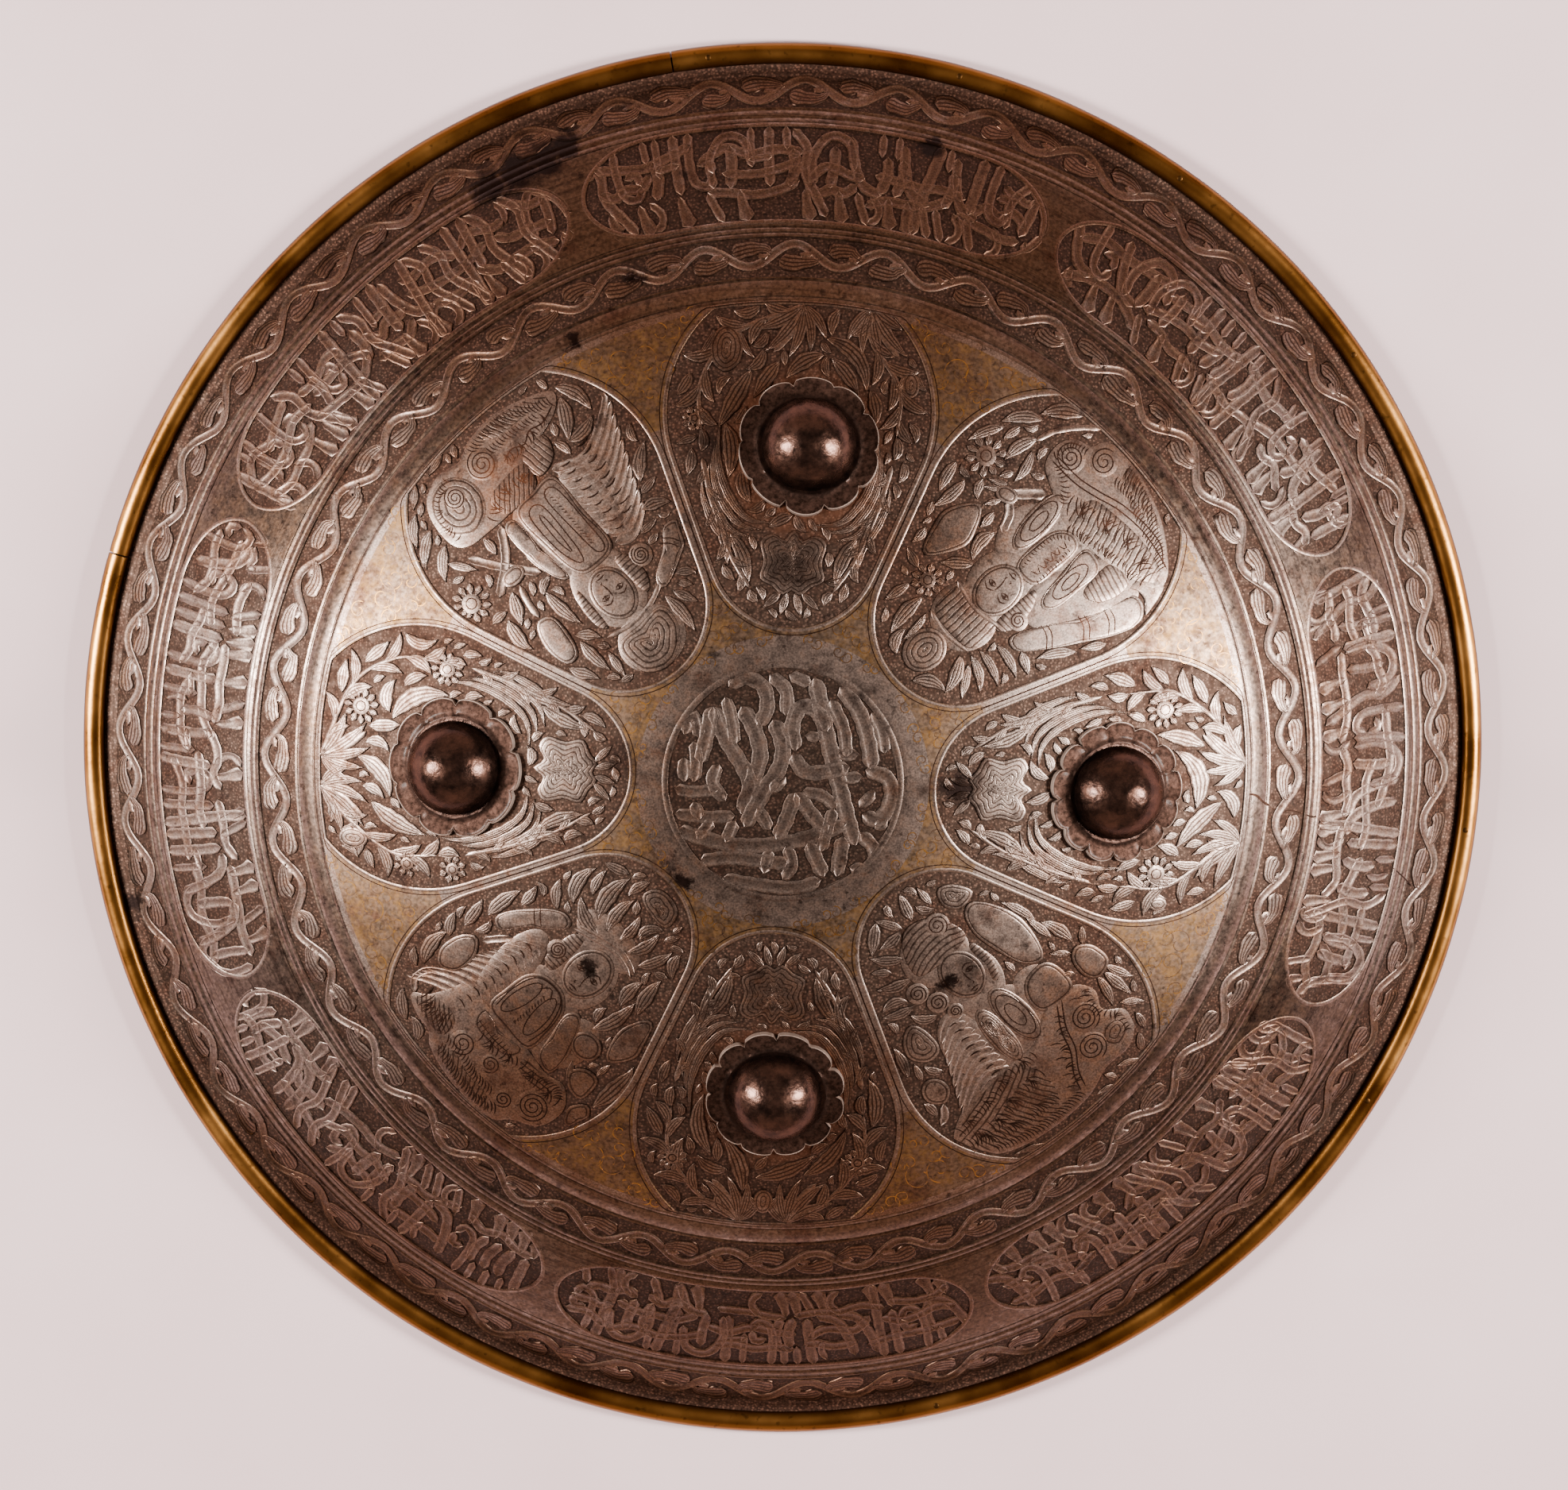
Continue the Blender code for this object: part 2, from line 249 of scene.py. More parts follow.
def piece(name, solids, materials, replaced=()):
    """Joins solids into one object that rides on the shield.

    A solid is (loft, material number), or (loft, an array with a number for each quad).
    """
    lofts, numbers = zip(*solids)
    starts = np.cumsum([0] + [len(points) for points, *_ in lofts[:-1]])
    quads, fans = (
        np.concatenate([made[part] + start for made, start in zip(lofts, starts)])
        for part in (1, 2)
    )
    shades = [np.broadcast_to(number, len(made[1])) for made, number in zip(lofts, numbers)]
    shades += [np.full(len(made[2]), np.ravel(number)[0]) for made, number in zip(lofts, numbers)]
    points, maps = (np.concatenate([made[part] for made in lofts]) for part in (0, 3))
    corners = np.concatenate([quads.ravel(), fans.ravel()])
    fan_starts = quads.size + np.arange(len(fans)) * 3
    mesh = bpy.data.meshes.new(name)
    mesh.vertices.add(len(points))
    mesh.vertices.foreach_set("co", points.astype(np.float32).ravel())
    mesh.loops.add(len(corners))
    mesh.loops.foreach_set("vertex_index", corners.astype(np.int32))
    mesh.polygons.add(len(quads) + len(fans))
    for key, values in (
        ("loop_start", [np.arange(len(quads)) * 4, fan_starts]),
        ("material_index", shades),
    ):
        mesh.polygons.foreach_set(key, np.concatenate(values).astype(np.int32))
    mesh.update(calc_edges=True)
    layer = mesh.uv_layers.new(name="along_across")
    layer.data.foreach_set("uv", maps[corners].astype(np.float32).ravel())
    for material in materials:
        mesh.materials.append(material)
    mesh.shade_smooth()
    mesh.set_sharp_from_angle(angle=CREASE)
    made = bpy.data.objects.new(name, mesh)
    bpy.context.scene.collection.objects.link(made)
    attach(made, "root")
    if replaced:
        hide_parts(*replaced)
    print(f"{name}: {2 * len(quads) + len(fans)} triangles")

# %% [markdown]
# ## The steel finishes
# Old etched steel is not one grey. The high parts are rubbed bright, the etched ground stays
# dark and grainy because polish never reaches it, and a thin brown skin of old rust and oil
# tints everything. That skin is laid on heavier towards the top and bottom, partly as painted
# shade; painted shade also darkens the crown and the foot of raised work, and painted light
# brightens the hollow before the brass. All the steel finishes here therefore share one recipe:
# a metal between bright and brown, a broad cloudy patina, fine pitting, and a few black stains.
# What differs is how bright and rough each one is, and its engraving.

# %% Steel finishes
STAINS = (  # black spots: plan x, y and radius in mm
    (-78.0, 196.5, 7.5), (-87.0, 192.0, 7.5), (-96.0, 187.0, 7.0), (-71.0, 200.5, 5.5),
    (-47.2, 157.4, 3.6), (-67.4, 138.5, 3.8), (47.8, 200.0, 4.2), (-31.4, -31.7, 3.4),
    (-62.0, -59.8, 3.6), (55.5, -2.4, 5.6), (51.7, -66.1, 3.2), (-219.0, -53.0, 4.5),
)
SMUDGES = (  # soft dark patches
    (3.6, 67.0, 14.0), (60.0, -2.0, 12.0), (-50.0, 8.0, 9.0), (60.0, -60.0, 9.0),
    (20.0, -84.0, 9.0), (-24.0, -73.0, 8.0), (118.0, 28.0, 6.0), (-24.0, 104.0, 8.0),
)
RUST = ((6.5, 103.0, 31.0), (-3.0, -103.5, 29.0), (-86.0, 92.0, 14.0))
BAND_TONE = 0.8  # how much of its brightness the steel keeps in the band of cartouches
HOLLOW_LIGHT = 1.2  # painted light: how much brighter it is painted in the hollow before the brass
CROWN_SHADE = 0.56  # painted shade: how much of its brightness it keeps at the crown
RAGGED = 0.016  # metres, how far noise pushes the edge of a stain about
# CUT_SHARE also sets how dark the painted shade on the foot of raised work is
CUT_SHARE, CUT_DEPTH = 0.85, 1.5  # how black a cut line is, and its depth in the bump's units
FLATTEN = (1.0, 1.0, 0.0)  # takes a place down to the table


def steel(name, bright, brown, roughness, grain=0.6, depth=0.02, engraving=None,
          dots=0.0, turning=0.0, bare=1.0):
    """A steel finish. `engraving` turns the tree and its UV map into a mask of cut lines.

    Its colour goes from bright to brown with a broad cloud and a close mottle, browner towards
    the top and bottom, then takes rust blotches, black specks, grit with the tone of each ring,
    the stains and last the mask. The mask holds cut lines and painted shade on the foot of raised
    work. `dots` is the share of punched grain, drawn a millimetre across because the real grain
    is too fine to show, and `turning` the share of fine rings left by scouring round the dome.
    `bare` is how much of it is bare metal: dirt and rust, which do not mirror, cover the rest.
    """
    material, tree, shader, place = start_material(name)
    cloud, blotch, mottle, specks, soot, pits, ragged = (
        add(tree, "TexNoise", {
            "Vector": place, "Scale": PER_MM / size, "Detail": detail, "Roughness": rough,
        })
        for size, detail, rough in (
            (55, 6.0, 0.5), (13, 6.0, 0.66), (3.6, 4.0, 0.7), (2.3, 3.0, 0.6), (7.5, 5.0, 0.6),
            (grain, 3.0, 0.5), (6, 5.0, 0.7),
        )
    )
    # browner and darker towards the top and bottom: the brown skin, laid on heavier there as
    # painted shade where the dome faces away from the soft boxes
    split = add(tree, "SeparateXYZ", [place])
    away = add(tree, "Math", [split.outputs["Y"]], operation="ABSOLUTE")
    skin_and_shade = add(tree, "MapRange", (away, 0.03, 0.2, 0.0, 0.3), **SMOOTH)
    skin_and_shade = add(tree, "Math", (skin_and_shade, cloud), operation="ADD")
    skin_and_shade = add(tree, "Math", (skin_and_shade, mottle), operation="ADD")
    share = add(tree, "MapRange", (skin_and_shade, 0.72, 1.36, 0.0, 1.0), **SMOOTH)
    colour = add(tree, "Mix", {0: share, 6: bright, 7: brown}, **COLOUR)
    for noise, low, high, most, tint in (
        (blotch, 0.52, 0.7, 0.62, "#55392d"),
        (specks, 0.6, 0.7, 0.6, "#2b1d17"),
        (soot, 0.6, 0.7, 0.6, "#2b1f1c"),
    ):
        share = add(tree, "MapRange", (noise, low, high, 0.0, most), **SMOOTH)
        colour = add(tree, "Mix", {0: share, 6: colour, 7: tint}, **COLOUR)
    level = add(tree, "VectorMath", (place, FLATTEN), operation="MULTIPLY")
    reach = add(tree, "VectorMath", [level], operation="LENGTH")  # metres from the axis
    if turning:  # a noise read along the radius, and hardly at all round the dome
        slow = add(tree, "VectorMath", {0: place, 3: 0.04}, operation="SCALE")
        rings = add(tree, "CombineXYZ", [reach])
        rings = add(tree, "VectorMath", (rings, slow), operation="ADD")
        scour = {"Vector": rings, "Scale": PER_MM / 1.3, "Detail": 4.0, "Roughness": 0.7}
        scour = add(tree, "TexNoise", scour)
        scour = add(tree, "MapRange", (scour, 0.5, 0.64, 0.0, turning), **SMOOTH)
        # the crown was rubbed without a turn
        clear = add(tree, "MapRange", (reach, 0.045, 0.062, 0.15, 1.0), **SMOOTH)
        scour = add(tree, "Math", (scour, clear), operation="MULTIPLY")
        colour = add(tree, "Mix", {0: scour, 6: colour, 7: "#33231c"}, **COLOUR)
    # brightness, by rings: the bands of ornament far down the dome are darker; painted light
    # brightens the hollow before the brass, and painted shade darkens the crown
    inward, outward, pale, crown = (
        add(tree, "MapRange", (reach, *limits), **SMOOTH)
        for limits in (
            (0.152, 0.172, 1.0, BAND_TONE), (0.21, 0.222, BAND_TONE, 1.0),
            (0.2225, 0.2285, 1.0, HOLLOW_LIGHT), (0.03, 0.06, CROWN_SHADE, 1.0),
        )
    )
    tone = add(tree, "Math", (inward, outward), operation="MAXIMUM")
    tone = add(tree, "Math", (tone, pale), operation="MULTIPLY")
    tone = add(tree, "Math", (tone, crown), operation="MULTIPLY")
    grit = add(tree, "MapRange", (pits, 0.3, 0.7, 0.6, 1.2), **SMOOTH)
    grit = add(tree, "Math", (grit, tone), operation="MULTIPLY")
    height = pits
    if dots:
        punched = add(tree, "TexVoronoi", {"Vector": place, "Scale": PER_MM, "Randomness": 0.85})
        limits = (punched, 0.12, 0.55, 1 + 0.55 * dots, 1 - 0.75 * dots)
        punched = add(tree, "MapRange", limits, **SMOOTH)
        grit = add(tree, "Math", (grit, punched), operation="MULTIPLY")
        height = add(tree, "Math", (height, punched), operation="ADD")
    colour = add(tree, "VectorMath", {0: colour, 3: grit}, operation="SCALE")
    # rust tints the colour under the stains; a stain is the darkest of the spots that reach a
    # place, and all their edges are pushed about by noise
    shove = (ragged.outputs["Color"], (RAGGED, RAGGED, 0.0), (-RAGGED / 2, -RAGGED / 2, 0.0))
    shove = add(tree, "VectorMath", shove, operation="MULTIPLY_ADD")
    moved = add(tree, "VectorMath", (place, shove), operation="ADD")
    moved = add(tree, "VectorMath", (moved, FLATTEN), operation="MULTIPLY")
    stain = None
    spots = [(*spot, 0.5, 1.25, 0.95, False) for spot in STAINS]
    spots += [(*spot, 0.0, 1.0, 0.62, False) for spot in SMUDGES]
    spots += [(*spot, 0.6, 1.0, 0.28, True) for spot in RUST]
    for x, y, radius, inner, outer, most, rusty in spots:
        gap = add(tree, "VectorMath", (moved, (x * MM, y * MM, 0.0)), operation="DISTANCE")
        limits = (gap, inner * radius * MM, outer * radius * MM, most, 0.0)
        spot = add(tree, "MapRange", limits, **SMOOTH)
        if rusty:
            colour = add(tree, "Mix", {0: spot, 6: colour, 7: "#7a4a30"}, **COLOUR)
        elif stain is None:
            stain = spot
        else:
            stain = add(tree, "Math", (stain, spot), operation="MAXIMUM")
    colour = add(tree, "Mix", {0: stain, 6: colour, 7: "#1d1412"}, **COLOUR)
    if engraving is not None:
        # the mask holds cut lines and painted shade on the foot of raised work
        line = engraving(tree, add(tree, "UVMap", uv_map="along_across"))
        share = add(tree, "Math", (line, CUT_SHARE), operation="MULTIPLY")
        colour = add(tree, "Mix", {0: share, 6: colour, 7: "#2f2019"}, **COLOUR)
        height = add(tree, "Math", (line, -CUT_DEPTH, height), operation="MULTIPLY_ADD")
    gloss = (mottle, 0.3, 0.7, roughness - 0.06, roughness + 0.1)
    gloss = add(tree, "MapRange", gloss, **SMOOTH)
    bump = add(tree, "Bump", {"Height": height, "Distance": depth * MM, "Strength": 1.0})
    wire(tree, shader, {"Base Color": colour, "Roughness": gloss, "Normal": bump})
    wire(tree, shader, {"Metallic": bare})
    return material


BRIGHT, BROWN = "#a5948a", "#745746"
plain_steel = steel("rubbed_plain_steel", "#8d7c72", "#675040", 0.3, 1.1, 0.03, turning=0.5)
ground_steel = steel(
    "etched_ground_steel", "#5c4a40", "#51392e", 0.58, 0.9, 0.05, dots=0.62, bare=0.94
)
forged_steel = steel("forged_inner_steel", "#4c3f39", "#33241d", 0.55, 9.0, 0.3)

# %% [markdown]
# ## The dome
# The dome is a profile turned round the axis. Reading outward from the crown, its height over
# the plain sphere drops to the etched level wherever a band of ornament lies, and stands at
# zero on the plain rings between the bands. After the last ring come the hollow bend and the
# flat lip that the brass tube grips. The inner side follows at the thickness of the sheet.

# %% The dome
WALL = 1.4  # mm, the steel sheet
LIP_TOP = 4.2  # mm above the table
LIP_END = 232.8
FOOT_FILLET = 4.0
PANEL_ZONE = 150.2  # radii in mm where one zone of the pattern ends
INNER_VINE = (158.2, 170.5)
CARTOUCHES = (175.1, 207.9)
OUTER_VINE = (213.5, 224.0)
ROUND_STEPS = 216
STEP = 0.3  # mm, run of the slope at the edge of an etched band
LINE_WIDTH, LINE_DEPTH = 0.55, 0.13  # mm, of the fine lines cut into the plain rings

fillet_rise = LIP_TOP + FOOT_FILLET - SPHERE_CENTRE
fillet_radius = math.sqrt((SPHERE_RADIUS + FOOT_FILLET) ** 2 - fillet_rise**2)
foot_angle = math.atan2(fillet_radius, fillet_rise)
FOOT = SPHERE_RADIUS * math.sin(foot_angle)


def incised(radius):
    """A fine line round a plain ring: (radius, height) down, across and up again."""
    across = np.array([-1 / 2, -1 / 6, 1 / 6, 1 / 2]) * LINE_WIDTH
    return list(zip(radius + across, (0.0, -LINE_DEPTH, -LINE_DEPTH, 0.0)))


def etched(band):
    """An etched band between two radii: down a short slope, across and up again."""
    inner, outer = band
    return [(inner - STEP, 0.0), (inner, GROUND), (outer, GROUND), (outer + STEP, 0.0)]


levels = [(0.0, GROUND), (PANEL_ZONE, GROUND), (PANEL_ZONE + STEP, 0.0)]
levels += incised(151.6) + incised(156.8) + etched(INNER_VINE) + incised(172.0) + incised(173.7)
levels += etched(CARTOUCHES) + incised(209.6) + incised(212.2)
levels += etched(OUTER_VINE)[:3] + [(FOOT, -0.1)]  # no step up: the hollow bend begins there
levels = np.array(levels)
fill = np.linspace(3.0, FOOT - 0.5, 44)
radii = np.unique(np.concatenate([levels[:, 0], fill]).round(3))[1:]
heights = np.interp(radii, levels[:, 0], levels[:, 1])


def turned(radius, level):
    """A profile of radii and levels, mm, turned clockwise from +Y: (r sin b, r cos b, level)."""
    bearing = np.linspace(0, 2 * math.pi, ROUND_STEPS, endpoint=False)
    x, y = radius[:, None] * np.sin(bearing), radius[:, None] * np.cos(bearing)
    return np.stack([x, y, np.broadcast_to(level[:, None], x.shape)], -1) * MM


def on_sphere(radius, height):
    """(radius, level) of points at this plan radius and height over the sphere."""
    share = (SPHERE_RADIUS + height) / SPHERE_RADIUS
    level = SPHERE_CENTRE + share * np.sqrt(SPHERE_RADIUS**2 - radius**2)
    return np.stack([radius * share, level], -1)


def hollow(bend, radius):
    """(radius, level) along the hollow bend: a circle round the fillet's centre."""
    level = LIP_TOP + FOOT_FILLET - radius * np.cos(bend)
    return np.stack([fillet_radius - radius * np.sin(bend), level], -1)


bend = foot_angle * (1 - np.linspace(0.15, 1, 7))
lip = np.array([(LIP_END - 0.2, LIP_TOP), (LIP_END, LIP_TOP - 0.2), (LIP_END, LIP_TOP - WALL)])
profile = np.concatenate(
    [
        on_sphere(radii, heights),
        hollow(bend, FOOT_FILLET),
        lip,
        hollow(bend[::-1], FOOT_FILLET + WALL),
        on_sphere(np.linspace(FOOT - 1.0, 3.0, 30), -WALL),
    ]
)
dome = loft(turned(*profile.T), np.zeros((len(profile), ROUND_STEPS, 2)))
print("dome profile:", len(profile), "points, foot of the sphere at", round(FOOT, 1), "mm")

# %% The dome's finishes, ring by ring
# one number per row of faces: 0 etched ground, 1 rubbed plain steel, 2 forged inside; the hollow
# before the lip takes the ground's darker finish, for dirt and as painted shade that dims its
# reflection of the soft boxes
row_height = (heights[:-1] + heights[1:]) / 2
row_number = np.where(row_height < GROUND / 2 - 0.02, 0, 1)
row_number[radii[:-1] > FOOT - 1.5] = 0
row_number = np.concatenate([row_number, np.full(len(bend) + 2, 0)])
row_number = np.concatenate([row_number, np.full(len(profile) - 1 - len(row_number), 2)])
dome = (dome, np.repeat(row_number, ROUND_STEPS))
piece("etched_dome", [dome], [ground_steel, plain_steel, forged_steel], ("steel_dome",))

# %% [markdown]
# ## The brass binding
# The binding is a brass tube of about seven and a half millimetres, slit along its inner side.
# It comes in two lengths whose ends butt together, one joint gaping and one fine. Brass drawn
# through a die by hand and bent round a shield is never quite even, so the tube swells and
# sinks by a tenth or two of a millimetre, and it has a few nicks from being set down on stone.

# %% The brass finish
brass, tree, shader, place = start_material("worn_drawn_brass")
cloud = add(tree, "TexNoise", {"Vector": place, "Scale": PER_MM / 22, "Detail": 5.0})
rub = add(tree, "MapRange", (cloud, 0.3, 0.7))
colour = add(tree, "Mix", {0: rub, 6: "#8a5a26", 7: "#c08a48"}, **COLOUR)
# painted shade: darker and browner towards the top and bottom, away from the soft boxes
split = add(tree, "SeparateXYZ", [place])
away = add(tree, "Math", [split.outputs["Y"]], operation="ABSOLUTE")
skin = add(tree, "MapRange", (away, 0.08, 0.21, 0.0, 0.5))
colour = add(tree, "Mix", {0: skin, 6: colour, 7: "#5b3614"}, **COLOUR)
# painted shade: dark where the tube turns down to the steel and to the table
split = add(tree, "SeparateXYZ", [add(tree, "UVMap", uv_map="along_across")])
edge = add(tree, "Math", [split.outputs["Y"]], operation="ABSOLUTE")
underside_shade = add(tree, "MapRange", (edge, 0.45, 0.85), **SMOOTH)
speck = add(tree, "TexNoise", {"Vector": place, "Scale": PER_MM / 2.5, "Detail": 4.0})
spots = add(tree, "MapRange", (speck, 0.62, 0.72, 0.0, 0.5))
dark = add(tree, "Math", (underside_shade, spots), operation="MAXIMUM")
colour = add(tree, "Mix", {0: dark, 6: colour, 7: "#3a2410"}, **COLOUR)
gloss = add(tree, "MapRange", (cloud, 0.3, 0.7, 0.25, 0.38))
# the drawn skin is never quite even: dents of two or three millimetres, too shallow to see singly
bump = add(tree, "Bump", {"Height": speck, "Distance": 0.05 * MM, "Strength": 1.0})
wire(tree, shader, {"Base Color": colour, "Roughness": gloss, "Normal": bump, "Metallic": 1.0})

# %% The binding
TUBE_RADIUS = 231.2  # mm, of the circle its centre follows
TUBE_HEIGHT = 3.5
TUBE_HALF_WIDTH = 3.8
TUBE_HALF_HEIGHT = 3.6
TUBE_WALL = 1.2
SLIT = 1.0  # mm, half its opening
KERF = 0.07  # degrees, half the gap at a joint
OPEN_JOINT, FINE_JOINT = 286.5, 350.9
NICKS = ((283.1, 0.25, 0.35), (288.2, 0.2, 0.3), (40.0, 0.3, 0.2), (152.0, 0.3, 0.25))


def tube(first, last):
    """A length of slit tube between two bearings: its section carried round the shield.

    The section is an outer and an inner ellipse from one lip of the slit to the other. Both
    shrink by the sum of three slow sines and by a bell curve, exp(-x^2), at each nick.
    """
    bearing = np.linspace(first + KERF, last - KERF, int((last - first) * 1.4))
    angle = np.radians(bearing)
    uneven = 0.1 + 0.05 * (np.sin(5 * angle) + np.sin(13 * angle + 1) * 0.6)
    uneven = uneven + 0.03 * np.sin(41 * angle + 2)
    for at, reach, depth in NICKS:
        apart = (bearing - at + 180) % 360 - 180
        uneven = uneven + depth * np.exp(-((apart / reach) ** 2))
    end = np.minimum(bearing - first, last - bearing)
    uneven = uneven + 0.12 * np.exp(-((end / 0.25) ** 2))
    rows = []
    for inset, count, flip in ((0.0, 30, 1), (TUBE_WALL, 14, -1)):
        high = TUBE_HALF_HEIGHT - inset
        start = math.degrees(math.asin(SLIT / high))
        turn = np.radians(np.linspace(start, 360 - start, count))[::flip]
        radius = TUBE_RADIUS - (TUBE_HALF_WIDTH - inset - uneven[:, None]) * np.cos(turn)
        level = TUBE_HEIGHT + (high - uneven[:, None] * 0.6) * np.sin(turn)
        across = (np.degrees(turn) - 90) / 90 * np.ones_like(radius)
        rows.append(np.stack([radius, np.maximum(level, 0.0), across], -1))
    radius, level, across = np.moveaxis(np.concatenate(rows, 1), -1, 0)
    sine, cosine = np.sin(angle)[:, None], np.cos(angle)[:, None]
    points = np.stack([radius * sine, radius * cosine, level], -1) * MM
    along = np.broadcast_to(angle[:, None] * TUBE_RADIUS, across.shape)
    return loft(points, np.stack([along, across], -1))


for length, first, last in (
    ("long", FINE_JOINT - 360, OPEN_JOINT),
    ("short", OPEN_JOINT, FINE_JOINT),
):
    solids = [(tube(first, last), 0)]
    piece(f"binding_tube_{length}", solids, [brass], (f"brass_binding_{length}",))

# %% [markdown]
# ## The pins
# Seven small brass pins go down through the tube and the lip. They were hammered flat and
# have gone nearly black in the ring of dirt round each head, so they show as dark dots.

# %% The pins
PIN_CIRCLE = 231.0
PIN_RADIUS, PIN_SIDES = 0.95, 20
PIN_BEARINGS = (14.6, 34.6, 55.1, 96.7, 121.1, 166.9, 353.9)

pin_brass, tree, shader, place = start_material("blackened_pin_brass")
soot = add(tree, "TexNoise", {"Vector": place, "Scale": PER_MM / 0.8, "Detail": 3.0})
colour = add(tree, "Mix", {0: soot, 6: "#1d1209", 7: "#5a3c1c"}, **COLOUR)
wire(tree, shader, {"Base Color": colour, "Metallic": 1.0, "Roughness": 0.45})


def pin(bearing):
    """A pin: circles from the middle of its low head out, and down to its foot."""
    turn = np.linspace(0, 2 * math.pi, PIN_SIDES, endpoint=False)
    radius = np.array([0.3, 0.7, 0.95, 1.0, 1.0]) * PIN_RADIUS
    level = np.array([7.22, 7.16, 7.06, 6.9, 0.6])
    angle = math.radians(bearing)
    x = PIN_CIRCLE * math.sin(angle) + radius[:, None] * np.cos(turn)
    y = PIN_CIRCLE * math.cos(angle) + radius[:, None] * np.sin(turn)
    points = np.stack([x, y, np.broadcast_to(level[:, None], x.shape)], -1) * MM
    return loft(points, np.zeros(points.shape[:2] + (2,)))


pins = [(pin(bearing), 0) for bearing in PIN_BEARINGS]
hidden = [f"binding_pin_{number}" for number in range(1, 8)]
piece("binding_pin_heads", pins, [pin_brass], hidden)

# %% [markdown]
# ## The bosses
# Each boss is a slightly pointed dome on a thin flange whose edge is filed into round lobes.
# They were browned rather than etched: a dark russet skin, waxed and handled until it is
# glossy, so each shows the two soft boxes as two small bright spots. The lobes were filed by
# eye, so their depth wanders. The edge of the flange is painted pale: a rub of bare steel,
# brightened further as a painted highlight.

# %% The boss finish
boss_steel, tree, shader, place = start_material("russet_browned_steel")
cloud, pits = (
    add(tree, "TexNoise", {
        "Vector": place, "Scale": PER_MM / size, "Detail": detail, "Roughness": 0.7,
    })
    for size, detail in ((4.5, 6.0), (1.6, 5.0))
)
rust = add(tree, "MapRange", (cloud, 0.35, 0.68))
colour = add(tree, "Mix", {0: rust, 6: "#2e221e", 7: "#563d33"}, **COLOUR)
# the flange is duller than the dome and more pitted; its edge is painted palest, partly a rub of
# bare steel and partly a painted highlight
split = add(tree, "SeparateXYZ", [add(tree, "UVMap", uv_map="along_across")])
out, across = split.outputs["X"], split.outputs["Y"]
flange = add(tree, "MapRange", (out, 15.3, 16.8), **SMOOTH)
pitted = add(tree, "MapRange", (pits, 0.38, 0.62))
skin = add(tree, "Mix", {0: pitted, 6: "#21150f", 7: "#47332b"}, **COLOUR)
colour = add(tree, "Mix", {0: flange, 6: colour, 7: skin}, **COLOUR)
# painted shade: dark where the dome turns up out of the flange
foot = add(tree, "MapRange", (out, 12.5, 15.0), **SMOOTH)
past = add(tree, "MapRange", (out, 16.4, 18.2, 0.55, 0.0))
foot_shade = add(tree, "Math", (foot, past), operation="MULTIPLY")
colour = add(tree, "Mix", {0: foot_shade, 6: colour, 7: "#150f0d"}, **COLOUR)
# the flange's edge: a rub of bare steel, painted paler as a painted highlight
rim = add(tree, "MapRange", (across, 0.94, 0.975))
colour = add(tree, "Mix", {0: rim, 6: colour, 7: "#a8968b"}, **COLOUR)
gloss = add(tree, "MapRange", (cloud, 0.3, 0.7, 0.17, 0.36))
gloss = add(tree, "Math", (flange, 0.3, gloss), operation="MULTIPLY_ADD")
fine = add(tree, "TexNoise", {"Vector": place, "Scale": PER_MM / 2.4, "Detail": 5.0})
bump = add(tree, "Bump", {"Height": fine, "Distance": 0.2 * MM, "Strength": 1.0})
wire(tree, shader, {
    "Base Color": colour,
    "Roughness": gloss,
    "Normal": bump,
    "Metallic": 0.9,
    "Specular Tint": (0.5, 0.45, 0.43, 1.0),
    "Coat Weight": 0.05,
    "Coat Roughness": 0.16,
})

# %% The bosses
BOSSES = (  # name, bearing, plan distance from the axis in mm, lobes
    ("top", 4.5, 105.0, 10),
    ("right", 92.8, 106.3, 13),
    ("bottom", 181.4, 102.6, 12),
    ("left", 271.6, 104.1, 10),
)
DOME_RADIUS, DOME_HEIGHT, DOME_FOOT = 15.0, 14.6, 1.05
POINT = 1.7  # 2 is a round top; less is a little pointed
FLANGE_RADIUS, LOBE_DEPTH = 22.8, 2.8
BEAD = 0.14  # mm, the raised border of the lobes
SHANK_RADIUS, HEAD_RADIUS = 3.0, 5.5
FLANGE_START = 16.4  # mm, where the flange leaves the foot of the dome
LOBE_STEPS = 12  # points round each lobe


